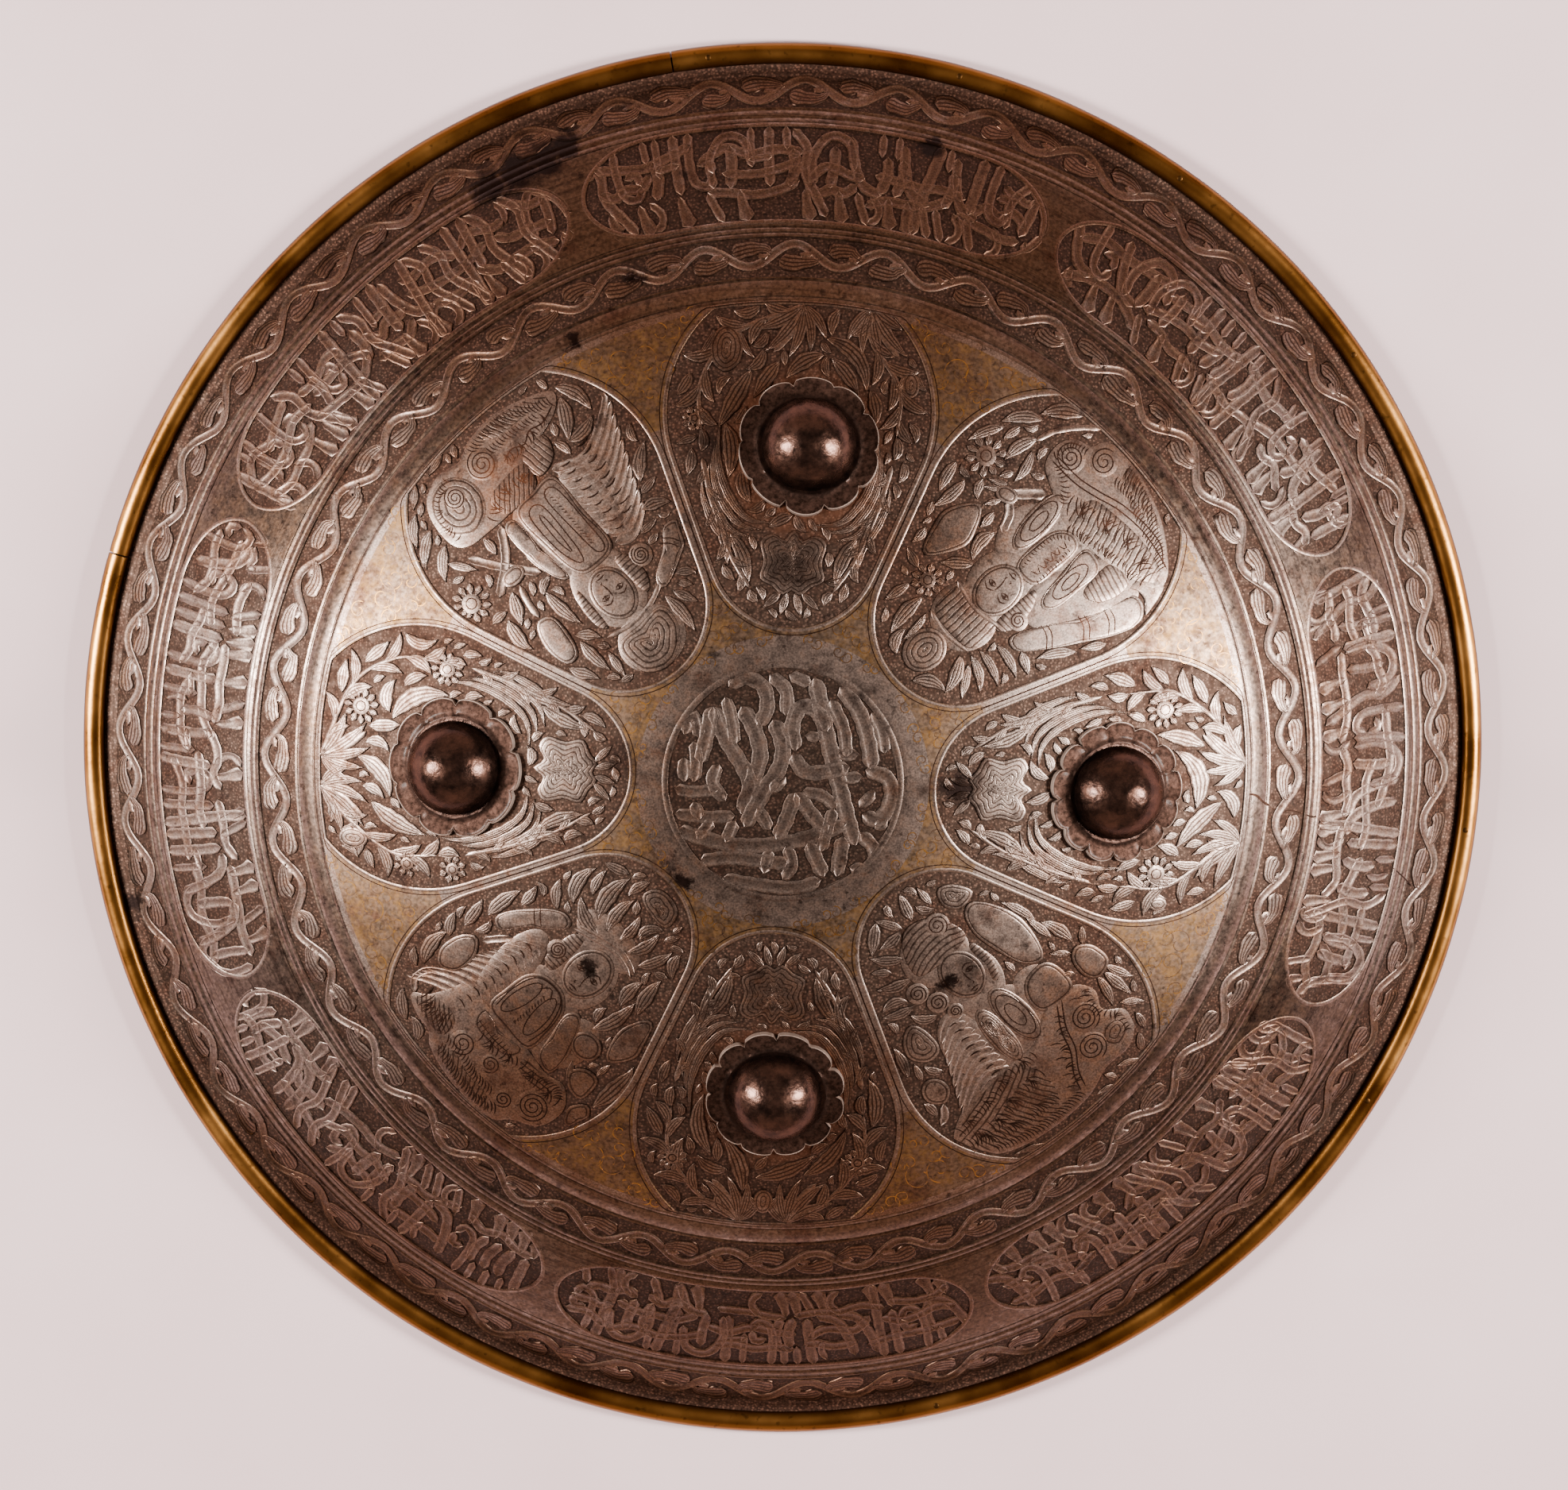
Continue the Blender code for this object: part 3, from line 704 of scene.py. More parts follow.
def boss(bearing, distance, lobes, seed):
    """A boss: circles down a dome, out over its lobed flange, back under it and down the shank.

    The dome's height goes as sqrt(1 - r^1.7). A lobe's edge is a circle's arc,
    r = flange - depth * (1 - sqrt(1 - a^2)), where a runs from -1 to 1 over the lobe. The
    flange's rings pass from a circle at the foot of the dome to that outline.
    """
    rng = np.random.default_rng(seed)
    turn = np.linspace(0, 2 * math.pi, lobes * LOBE_STEPS, endpoint=False)
    across = (turn * lobes / (2 * math.pi)) % 1.0 * 2 - 1
    number = (turn * lobes / (2 * math.pi)).astype(int)
    wander = rng.uniform(0.55, 1.25, lobes)[number] * LOBE_DEPTH
    swell = np.sqrt(1 - across**2)
    outline = FLANGE_RADIUS - rng.uniform(0.0, 0.5, lobes)[number] * (1 - across**2)
    outline = outline - wander * (1 - swell)
    rows = []  # radius, level and share of the flange of each circle
    for polar in np.linspace(0.06, 0.5, 16) * math.pi:
        share = math.sin(polar)
        rise = DOME_HEIGHT * math.sqrt(max(0.0, 1 - share**POINT))
        rows.append((DOME_RADIUS * share, DOME_FOOT + rise, 0.0))
    rows += [(15.35, DOME_FOOT - 0.02, 0.0), (15.9, DOME_FOOT, 0.0)]
    rows.append((FLANGE_START, DOME_FOOT + 0.02, 0.0))
    for share in (0.12, 0.3, 0.5, 0.68, 0.8, 0.87, 0.92, 0.96, 0.99):
        reach = FLANGE_START + share * (outline - FLANGE_START)
        dish = 0.75 + 0.35 * share**2 + 1.35 * (swell - 0.6) * share * (1.12 - share)
        dish = dish + BEAD * math.exp(-(((share - 0.92) / 0.055) ** 2))
        rows.append((reach, DOME_FOOT - 0.75 + dish - reach**2 / (2 * SPHERE_RADIUS), share))
    fall = outline**2 / (2 * SPHERE_RADIUS)
    rows += [(outline, DOME_FOOT + 0.5 - fall, 1.0), (outline, -0.25 - fall, 1.0)]
    rows += [(SHANK_RADIUS, 0.3, 0.0), (SHANK_RADIUS, -2.2, 0.0), (HEAD_RADIUS, -2.4, 0.0)]
    rows += [(HEAD_RADIUS - 0.3, -3.2, 0.0), (HEAD_RADIUS - 1.4, -4.2, 0.0)]
    radius, level, edge = (
        np.array([np.broadcast_to(row[i], turn.shape) for row in rows]) for i in range(3)
    )
    local = np.stack([radius * np.cos(turn), radius * np.sin(turn), level], -1)
    polar, yaw = math.asin(distance / SPHERE_RADIUS), math.radians(bearing)
    c, s = math.cos(polar), math.sin(polar)
    tip = np.array([[1, 0, 0], [0, c, s], [0, -s, c]])
    crown = SPHERE_CENTRE + SPHERE_RADIUS * c
    c, s = math.cos(yaw), math.sin(yaw)
    spin = np.array([[c, s, 0], [-s, c, 0], [0, 0, 1]])
    points = (local @ (spin @ tip).T + np.array([distance * s, distance * c, crown])) * MM
    return loft(points, np.stack([radius, edge], -1))


for seed, (name, bearing, distance, lobes) in enumerate(BOSSES):
    solids = [(boss(bearing, distance, lobes, 20 + seed), 0)]
    piece(f"{name}_boss", solids, [boss_steel], (f"boss_{name}",))

# %% [markdown]
# ## Strokes, leaves and plates
# Everything that stands up from the etched ground is one of three shapes. A stroke is a section
# carried along a line, wide in the middle and rounded or drawn out at its ends; a leaf is a
# stroke with a fuller section and a swelling width; a plate is a closed outline with rings
# shrinking from it to its middle. All have roots that reach under the ground, so no gap shows.

# %% Lines
def through(points, closed=False, spacing=1.2):
    """A smooth line through a few points, then cut into even steps `spacing` mm long.

    Between two points it follows the Catmull-Rom cubic: the one whose slope at each point is
    half the step between its two neighbours.
    """
    points = np.asarray(points, float)
    if closed:
        near = np.concatenate([points[-1:], points, points[:2]])
    else:
        first, last = 2 * points[:1] - points[1:2], 2 * points[-1:] - points[-2:-1]
        near = np.concatenate([first, points, last])
    t = (np.arange(12) / 12)[None, :, None]
    a, b, c, d = (near[i : len(near) - 3 + i, None, :] for i in range(4))
    cubic = 2 * b + (c - a) * t + (2 * a - 5 * b + 4 * c - d) * t**2
    cubic = (cubic + (3 * b - a - 3 * c + d) * t**3) / 2
    line = np.concatenate([cubic.reshape(-1, 2), near[-2:-1]])
    return even(line, closed, spacing)


def even(line, closed=False, spacing=1.2):
    """The same line cut again at even distances along it."""
    along = np.concatenate([[0], np.cumsum(np.hypot(*np.diff(line, axis=0).T))])
    count = max(5, int(round(along[-1] / spacing)) + 1)
    at = np.linspace(0, along[-1], count)
    line = np.stack([np.interp(at, along, line[:, 0]), np.interp(at, along, line[:, 1])], -1)
    return line[:-1] if closed else line


def bowed(start, end, bow=0.0, spacing=1.2):
    """From start to end with the middle pushed sideways by `bow` mm: a parabola."""
    start, end = np.asarray(start, float), np.asarray(end, float)
    t = np.linspace(0, 1, 24)[:, None]
    step = end - start
    side = np.array([step[1], -step[0]]) / (np.hypot(*step) + 1e-9)
    return even(start + t * step + 4 * bow * t * (1 - t) * side, spacing=spacing)


def curl(centre, radius, start, turns, inner=0.15, spacing=0.9):
    """A spiral round `centre` from `radius` in to `inner` of it, starting at an angle, deg."""
    t = np.linspace(0, 1, 60)
    angle = math.radians(start) + 2 * math.pi * turns * t
    reach = radius * (1 - (1 - inner) * t)
    line = np.stack([reach * np.cos(angle), reach * np.sin(angle)], -1) + centre
    return even(line, spacing=spacing)


def oval(centre, half_width, half_height, tilt=0.0, count=28):
    """An ellipse as a closed outline."""
    t = np.linspace(0, 2 * math.pi, count, endpoint=False)
    x, y = half_width * np.cos(t), half_height * np.sin(t)
    c, s = math.cos(math.radians(tilt)), math.sin(math.radians(tilt))
    return np.stack([x * c - y * s, x * s + y * c], -1) + centre


def turned_to(line, bearing):
    """Panel coordinates (across, outward) to plan (x, y) for a panel at this bearing."""
    c, s = math.cos(math.radians(bearing)), math.sin(math.radians(bearing))
    u, v = line[..., 0], line[..., 1]
    return np.stack([v * s + u * c, v * c - u * s], -1)


# %% Sections
def mirrored(*half):
    """A section from its left half, (share of the half width, height in mm), and its mirror."""
    right = [(-share, height) for share, height in half[::-1] if share < 0]
    return np.array([*half, *right])


ROUNDED = mirrored((-1, ROOT), (-0.9, -0.15), (-0.55, 0.0))
GROOVED = mirrored((-1, ROOT), (-0.92, -0.14), (-0.7, 0.0), (-0.42, -0.2))
LEAFY = mirrored((-1, ROOT), (-0.9, -0.16), (-0.5, 0.0), (0, -0.12))
CUT = mirrored((-1, -0.2), (-0.75, 0.03))


def stroke(line, width, taper=None, section=ROUNDED, lift=0.0, closed=False):
    """A section carried along a plan line, mm, set square to it at every point.

    Its width is a number, or a function of t from 0 to 1 along the line. Near an end it
    shrinks by sqrt(1 - (1 - s / taper)^2), a quarter ellipse `taper` mm long.
    """
    if closed:
        ahead = np.roll(line, -1, 0) - np.roll(line, 1, 0)
    else:
        ahead = np.gradient(line, axis=0)
    ahead /= np.hypot(*ahead.T)[:, None] + 1e-12
    side = np.stack([ahead[:, 1], -ahead[:, 0]], -1)
    along = np.concatenate([[0], np.cumsum(np.hypot(*np.diff(line, axis=0).T))])
    t = along / along[-1]
    half = (width(t) if callable(width) else np.full(len(line), float(width))) / 2
    if not closed:  # no hand keeps an even width
        half = half * (1 + 0.07 * np.sin(1.3 * along + 2.1 * line[0].sum()))
        taper = taper or float(np.max(half))
        share = np.clip(np.minimum(along, along[-1] - along) / taper, 0, 1)
        half = np.maximum(half * np.sqrt(1 - (1 - share) ** 2), 0.03)
    across, height = section.T
    plan = line[:, None] + side[:, None] * (half[:, None] * across)[..., None]
    rise = np.where(height > ROOT, height + lift, height)
    uv = np.stack(np.broadcast_arrays(along[:, None], across[None, :]), -1)
    return loft(on_dome(plan, np.broadcast_to(rise, plan.shape[:2])), uv, closed)


def leaf_width(width, full=0.42):
    """Half a sine whose crest sits at the share `full` of the leaf's length."""
    power = math.log(0.5) / math.log(full)
    return lambda t: width * np.sin(math.pi * np.clip(t, 0, 1) ** power) + 0.12


LARGE_PLATE = 7  # mm, mean radius


def plate(outline, lift=0.0, phase=None):
    """A flat plate with this closed outline: the outline shrunk towards its mean by shares.

    Its map holds, across, the depth inside the edge in mm, or `phase` of the place; and
    along, a number that falls from 1 at the edge to 0 at 1.4 mm inside it. Under a large
    plate the rings come back at the root's depth, so that its underside follows the dome.
    """
    centre = outline.mean(0)
    reach = np.hypot(*(outline - centre).T)
    size = reach.mean()
    inner = np.linspace(0.05, 1 - 0.8 / size, int(size / 4) + 2)
    under = [0.7, 0.4, 0.1] if size > LARGE_PLATE else []
    shares = np.concatenate([inner, [1 - 0.12 / size, 1.0], under])[:, None]
    height = np.full(shares.shape, lift)
    height[len(inner) :, 0] = [lift - 0.14, ROOT] + [ROOT] * len(under)
    plan = centre + shares[..., None] * (outline - centre)
    depth = (1 - shares) * reach
    across = depth if phase is None else phase(plan, depth)
    uv = np.stack([across, np.clip(1 - depth / 1.4, 0, 1)], -1)
    return loft(on_dome(plan, np.broadcast_to(height, plan.shape[:2])), uv)


# %% Engraving on raised work
def foot_shade_line(tree, uv):
    """Painted shade: a dark line on the steep foot where raised work meets the ground."""
    across = add(tree, "SeparateXYZ", [uv]).outputs["Y"]
    share = add(tree, "Math", [across], operation="ABSOLUTE")
    return add(tree, "MapRange", (share, 0.9, 1.0))


def edge_lines(tree, uv):
    """Painted shade on the steep foot at both edges of a stroke, and a shade along its sunk
    middle.
    """
    across = add(tree, "SeparateXYZ", [uv]).outputs["Y"]
    share = add(tree, "Math", [across], operation="ABSOLUTE")
    foot = add(tree, "MapRange", (share, 0.88, 1.0))
    middle = add(tree, "MapRange", (share, 0.36, 0.52, 0.4, 0.0), **SMOOTH)
    return add(tree, "Math", (foot, middle), operation="MAXIMUM")


VEIN_PITCH, VEIN_SLANT, VEIN_WIDTH = 1.5, 2.4, 0.2  # mm; mm along per half width; mm
RIB_PITCH = 0.44  # of the half width


def veins(tree, uv):
    """A midrib and two lines on each side that run with the leaf, and faint side veins.

    The long lines lie at every RIB_PITCH of the half width; the side veins where
    along - VEIN_SLANT * |across| passes a whole pitch.
    """
    split = add(tree, "SeparateXYZ", [uv])
    share = add(tree, "Math", [split.outputs["Y"]], operation="ABSOLUTE")
    phase = (share, -VEIN_SLANT, split.outputs["X"])
    phase = add(tree, "Math", phase, operation="MULTIPLY_ADD")
    saw = add(tree, "Math", (phase, VEIN_PITCH / 2), operation="PINGPONG")
    line = add(tree, "MapRange", (saw, 0.5 * VEIN_WIDTH, VEIN_WIDTH, 0.3, 0.0))
    nearest = add(tree, "Math", (share, RIB_PITCH / 2), operation="PINGPONG")
    rib = add(tree, "MapRange", (nearest, 0.06, 0.12, 1.0, 0.0))
    both = add(tree, "Math", (line, rib), operation="MAXIMUM")
    # painted shade on the steep foot at the leaf's edges
    foot = add(tree, "MapRange", (share, 0.9, 1.0))
    return add(tree, "Math", (both, foot), operation="MAXIMUM")


def contour(tree, uv):
    """A cut line a little over a millimetre inside a plate's edge, and painted shade along its
    foot.
    """
    split = add(tree, "SeparateXYZ", [uv])
    apart = add(tree, "Math", (split.outputs["X"], 1.25), operation="SUBTRACT")
    apart = add(tree, "Math", [apart], operation="ABSOLUTE")
    line = add(tree, "MapRange", (apart, 0.2, 0.36, 0.9, 0.0))
    foot = add(tree, "MapRange", (split.outputs["Y"], 0.7, 0.86))
    return add(tree, "Math", (line, foot), operation="MAXIMUM")


def hatching(tree, uv):
    """Cut lines at whole numbers of the map's first coordinate, pushed about a little."""
    split = add(tree, "SeparateXYZ", [uv])
    place = add(tree, "TexCoord").outputs["Object"]
    hand = add(tree, "TexNoise", {"Vector": place, "Scale": PER_MM / 4, "Detail": 2.0})
    phase = add(tree, "Math", (hand, 0.5, split.outputs["X"]), operation="MULTIPLY_ADD")
    saw = add(tree, "Math", (phase, 0.5), operation="PINGPONG")
    line = add(tree, "MapRange", (saw, 0.1, 0.2, 0.9, 0.0))
    # painted shade on the plate's steep foot
    foot = add(tree, "MapRange", (split.outputs["Y"], 0.7, 0.86))
    return add(tree, "Math", (line, foot), operation="MAXIMUM")


WORK = [
    steel(name, BRIGHT, BROWN, roughness, engraving=engraving)
    for name, roughness, engraving in (
        ("raised_plain_steel", 0.38, foot_shade_line),
        ("engraved_stroke_steel", 0.44, edge_lines),
        ("veined_leaf_steel", 0.38, veins),
        ("contoured_plate_steel", 0.35, contour),
        ("hatched_plate_steel", 0.35, hatching),
    )
]
WORK.insert(3, steel("graver_cut_steel", "#34241d", "#251812", 0.5))
WORK.append(plain_steel)
PLAIN, EDGED, VEINED, LINE, CONTOURED, HATCHED, SCOURED = range(7)

# %% [markdown]
# ## The two running vines
# A single stem swings from side to side all the way round, like a slow sine. Behind every
# crest a fat leaf shaped like a paisley drop grows back from the falling stem, with a small hook
# over it; above every trough the same leaf grows from the rising stem, upside down. So one
# half wave is drawn once and set down twice in every wave.

# %% The vines
def band_line(points, middle, swing, bearing, pitch, flip):
    """Wave places to plan: p runs along the wave, q across it, r = middle + flip * swing * q."""
    p, q = points.T
    angle = np.radians(bearing + p * pitch)
    radius = middle + flip * swing * q
    return np.stack([radius * np.sin(angle), radius * np.cos(angle)], -1)


# (share of a wave, share of its swing) along the leaf's middle and along its hook
VINE_LEAF = np.array([(0.25, 0.0), (0.21, -0.42), (0.11, -0.7), (-0.02, -0.66), (-0.15, -0.34)])
VINE_HOOK = np.array([(0.21, 0.1), (0.15, 0.12), (0.09, 0.0), (0.1, -0.2)])


def vine(middle, swing, waves, stem, first, seed):
    """The stem, and at each half wave a leaf and its hook with a small dark eye between."""
    rng = np.random.default_rng(seed)
    turn = np.radians(np.arange(0, 360, 360 / (waves * 16)))
    pitch = 360 / waves
    wobble = 0.25 * np.sin(5 * turn + seed) + 0.2 * np.sin(11 * turn)
    radius = middle + wobble + swing * np.cos(waves * (turn - math.radians(first)))
    line = np.stack([radius * np.sin(turn), radius * np.cos(turn)], -1)
    solids = [(stroke(line, stem, section=GROOVED, closed=True), EDGED)]
    for half_wave in range(2 * waves):
        flip = 1 if half_wave % 2 == 0 else -1
        at = first + half_wave * pitch / 2 + rng.normal(0, 0.08)
        # the leaf leaves the stem after the crest and swells back under it
        jitter = rng.normal(0, 0.025, (5, 2))
        body = band_line(VINE_LEAF + jitter, middle, swing, at, pitch, flip)
        fat = rng.uniform(5.6, 6.4)

        def width(t):
            """Full width in mm: it grows by a quarter wave to `fat`, early on."""
            return 2.3 + (fat - 2.3) * np.sin(0.5 * math.pi * np.clip(t * 1.15, 0, 1)) ** 1.5

        body = through(body, spacing=1.1)
        solids.append((stroke(body, width, taper=2.4, section=LEAFY, lift=0.03), VEINED))
        # its hook curls back from the stem and leaves a small dark eye before the leaf
        hook = band_line(VINE_HOOK + jitter[:4] * 0.5, middle, swing, at, pitch, flip)
        hook = through(hook, spacing=1.0)
        solids.append((stroke(hook, lambda t: 2.5 - 0.8 * t, taper=0.8, lift=0.05), PLAIN))
    return solids


piece("outer_vine_band", vine(219.0, 3.6, 44, 3.1, 288.3, 1), WORK)
piece("inner_vine_band", vine(164.8, 3.5, 36, 3.0, 281.3, 2), WORK)

# %% [markdown]
# ## The eight long cartouches
# Between the vines runs a band of eight long ovals, each filled with tall crossing strokes over
# a grainy ground. The steel left between two ovals is shaped like an hourglass. On the real
# shield the strokes are writing; here they are only rows of shallow bars, arches and wedges in
# the same rhythm, which spell nothing: sweeps along the oval, and bars across them.

# %% The oval's shape
GAPS = (339.5, 27.0, 70.0, 116.0, 160.0, 204.0, 247.0, 295.0)  # bearings between ovals
HALF_GAP = 0.85  # degrees of steel on each side, at the narrowest
END_REACH = 7.2  # degrees over which an oval rounds off
BAND_MIDDLE = sum(CARTOUCHES) / 2
BAND_HALF = (CARTOUCHES[1] - CARTOUCHES[0]) / 2


def end_retreat(offset):
    """Degrees the oval's end draws back at this distance from the band's middle: an ellipse."""
    share = np.clip(np.abs(offset) / BAND_HALF, 0, 1)
    return END_REACH * (1 - np.sqrt(1 - share**2))


def half_depth(bearing, low, high):
    """Half the oval's width, mm, at this bearing: the same ellipse read the other way."""
    end = np.clip(np.minimum(bearing - low, high - bearing) / END_REACH, 0, 1)
    return BAND_HALF * np.sqrt(1 - (1 - end) ** 2)


def ringed(bearing, radius):
    """Bearing in degrees and radius in mm to plan (x, y)."""
    angle = np.radians(bearing)
    return np.stack([radius * np.sin(angle), radius * np.cos(angle)], -1)


def hourglass(gap):
    """The plain steel between two ovals: rows along the radius, each a flat-topped section.

    Its underside has points of its own, so that it follows the dome and stays in the steel.
    """
    offset = BAND_HALF * np.sin(np.linspace(-0.5, 0.5, 40) * math.pi)
    half = HALF_GAP + end_retreat(offset)
    radius = BAND_MIDDLE + offset * 0.999
    slope = np.degrees(0.3 / radius)
    share = np.array([-1, -1, -1, -0.6, -0.2, 0.2, 0.6, 1, 1, 1, 0.5, 0, -0.5])
    inward = np.array([0, 0, 1, 1, 1, 1, 1, 1, 0, 0, 0, 0, 0])
    height = np.array([ROOT, -0.34, 0, 0, 0, 0, 0, 0, -0.34, ROOT, ROOT, ROOT, ROOT])
    bearing = gap + np.where(inward == 0, half[:, None], (half - slope)[:, None]) * share
    plan = ringed(bearing, radius[:, None])
    uv = np.stack(np.broadcast_arrays(radius[:, None], 0 * share), -1)
    return loft(on_dome(plan, np.broadcast_to(height, plan.shape[:2])), uv)


def oval_outline(low, high, inset=0.0):
    """The oval's edge, taken round once: out along one side and back along the other."""
    t = np.linspace(-1, 1, 90)
    middle, half = (low + high) / 2, (high - low) / 2
    t = np.sign(t) * (1 - (1 - np.abs(t)) ** 1.6)
    bearing = middle + t * half
    depth = half_depth(bearing, low, high) - inset
    outer = ringed(bearing, BAND_MIDDLE + depth)
    inner = ringed(bearing, BAND_MIDDLE - depth)[::-1]
    return even(np.concatenate([outer, inner[1:-1], outer[:1]]), closed=True, spacing=1.9)


# %% The bars, arches and wedges
SWEEPS = ((7.4, 0.86), (0.8, 0.84), (-6.0, 0.95))  # mm outward, and how much of it is drawn
BAR_SHARES = (0.12, 0.13, 0.2, 0.12, 0.12, 0.1, 0.08, 0.04, 0.09)  # of the nine kinds below


def flare(t):
    """A foot's width, mm: narrow at the sweep, spread like a wedge at the oval's edge."""
    return 2.6 + 3.6 * t**1.6


def bars(low, high, seed):
    """Crossing strokes inside one oval, in (mm along, mm outward) about its middle.

    Three sweeps run along the oval in pieces. Every few millimetres a bar, a leaning bar, an
    arch or a loop crosses them, in a seeded order, and below the lowest sweep stand wedges
    and props.
    """
    rng = np.random.default_rng(seed)
    middle = (low + high) / 2
    per_degree = BAND_MIDDLE * math.pi / 180
    reach = (high - low) / 2 * per_degree
    solids = []

    def draw(points, width=3.9, taper=None):
        """A stroke through these places, cut off at the oval's edge; widths vary by the hand."""
        line = through(points, spacing=1.5)
        bearing = middle + line[:, 0] / per_degree
        room = half_depth(bearing, low, high) - 0.5
        radius = BAND_MIDDLE + np.clip(line[:, 1], -room, room)
        lift = 0.016 * (len(solids) % 6)
        if not callable(width):
            width = width * rng.uniform(0.92, 1.08)
        solids.append((stroke(ringed(bearing, radius), width, taper, GROOVED, lift), EDGED))

    for base, share in SWEEPS:
        start = -reach * 0.92
        while start < reach * 0.82:
            length = rng.uniform(16, 34)
            stop = min(start + length, reach * 0.92)
            if rng.random() < share and stop - start > 8:
                t = np.linspace(start, stop, 5)
                wave = base + rng.normal(0, 0.9, 5)
                wave[0] += rng.choice([-3.2, 0.0, 2.0])
                wave[-1] += rng.choice([-2.0, 0.0, 3.2])
                draw(np.stack([t, wave], -1), 3.5)
            start = stop + rng.uniform(1.0, 4.0)
    at = -reach + 6.0
    while at < reach - 5.0:
        kind = rng.choice(9, p=BAR_SHARES)
        lean = rng.normal(0, 0.9)
        if kind == 0:  # a tall bar from edge to edge
            draw([(at + lean, 15.5), (at, 4), (at - lean, -6), (at - lean, -15.5)])
        elif kind == 1:  # a bar down to the lowest sweep
            draw([(at, 15.5), (at + lean * 0.5, 8), (at + lean, -4.0)])
        elif kind == 2:  # a short bar above the highest sweep, and one between the others
            draw([(at, 15.5), (at + 0.3, 7.5)], 2.8)
            draw([(at + 2.2, 8.0), (at + 3.0, 2.0), (at + 1.2, -4.6)])
        elif kind == 3:  # a long swaying bar
            sway = [(at - 3, 14.5), (at + 1.6, 8), (at + 1.2, 0), (at + 5.5, -8), (at + 9, -14)]
            draw(sway, 3.4)
            at += 2.0
        elif kind == 4:  # a leaning bar that turns into the lowest sweep
            draw([(at - 2.5, 13), (at - 1.0, 5), (at + 2.5, -2.5), (at + 9.0, -4.8)])
            at += 2.0
        elif kind == 5:  # a broad arch over two windows
            draw([(at - 3, -4), (at - 3.6, 5), (at + 1, 12.4), (at + 7.5, 11), (at + 10, 2)], 3.4)
            draw([(at + 3.2, 9.5), (at + 3.4, 3.0), (at + 2.4, -4.5)])
            at += 6.0
        elif kind == 6:  # two bars tied by a rung
            draw([(at - 1.2, 15.5), (at - 1.4, 2.0)], 2.8)
            draw([(at + 4.4, 15.5), (at + 4.2, 4.0), (at + 4.5, -4.5)])
            draw([(at - 2.5, 4.4), (at + 5.4, 5.4)], 2.6)
            at += 4.4
        elif kind == 7:  # a leaf-shaped drop in a bay
            draw([(at, 13.8), (at + 1.6, 9.5), (at + 0.8, 5.6)], 2.8, taper=2.2)
        else:  # a loop that hangs from its own bar
            draw([(at, 15.5), (at - 0.6, 6), (at + 0.4, -1), (at + 4.6, -3), (at + 6.6, 1)], 3.2)
            draw([(at + 6.6, 1), (at + 5.2, 5.2), (at + 1.6, 4.2)], 3.2)
            at += 5.0
        foot = rng.choice(4, p=(0.46, 0.2, 0.2, 0.14))
        if foot == 0:  # a wedge spread at the oval's edge
            draw([(at - 0.6, -5.0), (at + 0.2, -10), (at + 1.8, -15.4)], flare, 0.35)
        elif foot == 1:  # a hooked prop
            draw([(at - 1.5, -5), (at + 1.8, -9), (at + 1.6, -12.5), (at - 1.6, -14.6)], 3.0)
        elif foot == 2:  # a leaning prop
            draw([(at - 1.0, -5), (at + 1.0, -10), (at + 3.6, -15.2)], 3.2)
        at += rng.uniform(4.1, 5.3)
    return solids


# %% The cartouche band
surrounds = [(hourglass(gap), SCOURED) for gap in GAPS]
outlines, crossing = [], []
for number, low in enumerate(GAPS):
    high = GAPS[(number + 1) % 8]
    high += 360 if high < low else 0
    low, high = low + HALF_GAP, high - HALF_GAP
    outlines.append((stroke(oval_outline(low, high, 0.5), 1.6, lift=0.07, closed=True), PLAIN))
    crossing += bars(low, high, 100 + number)
piece("cartouche_surrounds", surrounds + outlines, WORK)
piece("cartouche_strokes", crossing, WORK)

# %% [markdown]
# ## The roundel at the crown
# The crown carries a round field of the same crossing strokes, thicker here, inside a raised
# ring. They are again shallow bars, arches and wedges that spell nothing, packed so close that
# only small windows of the ground are left between them.

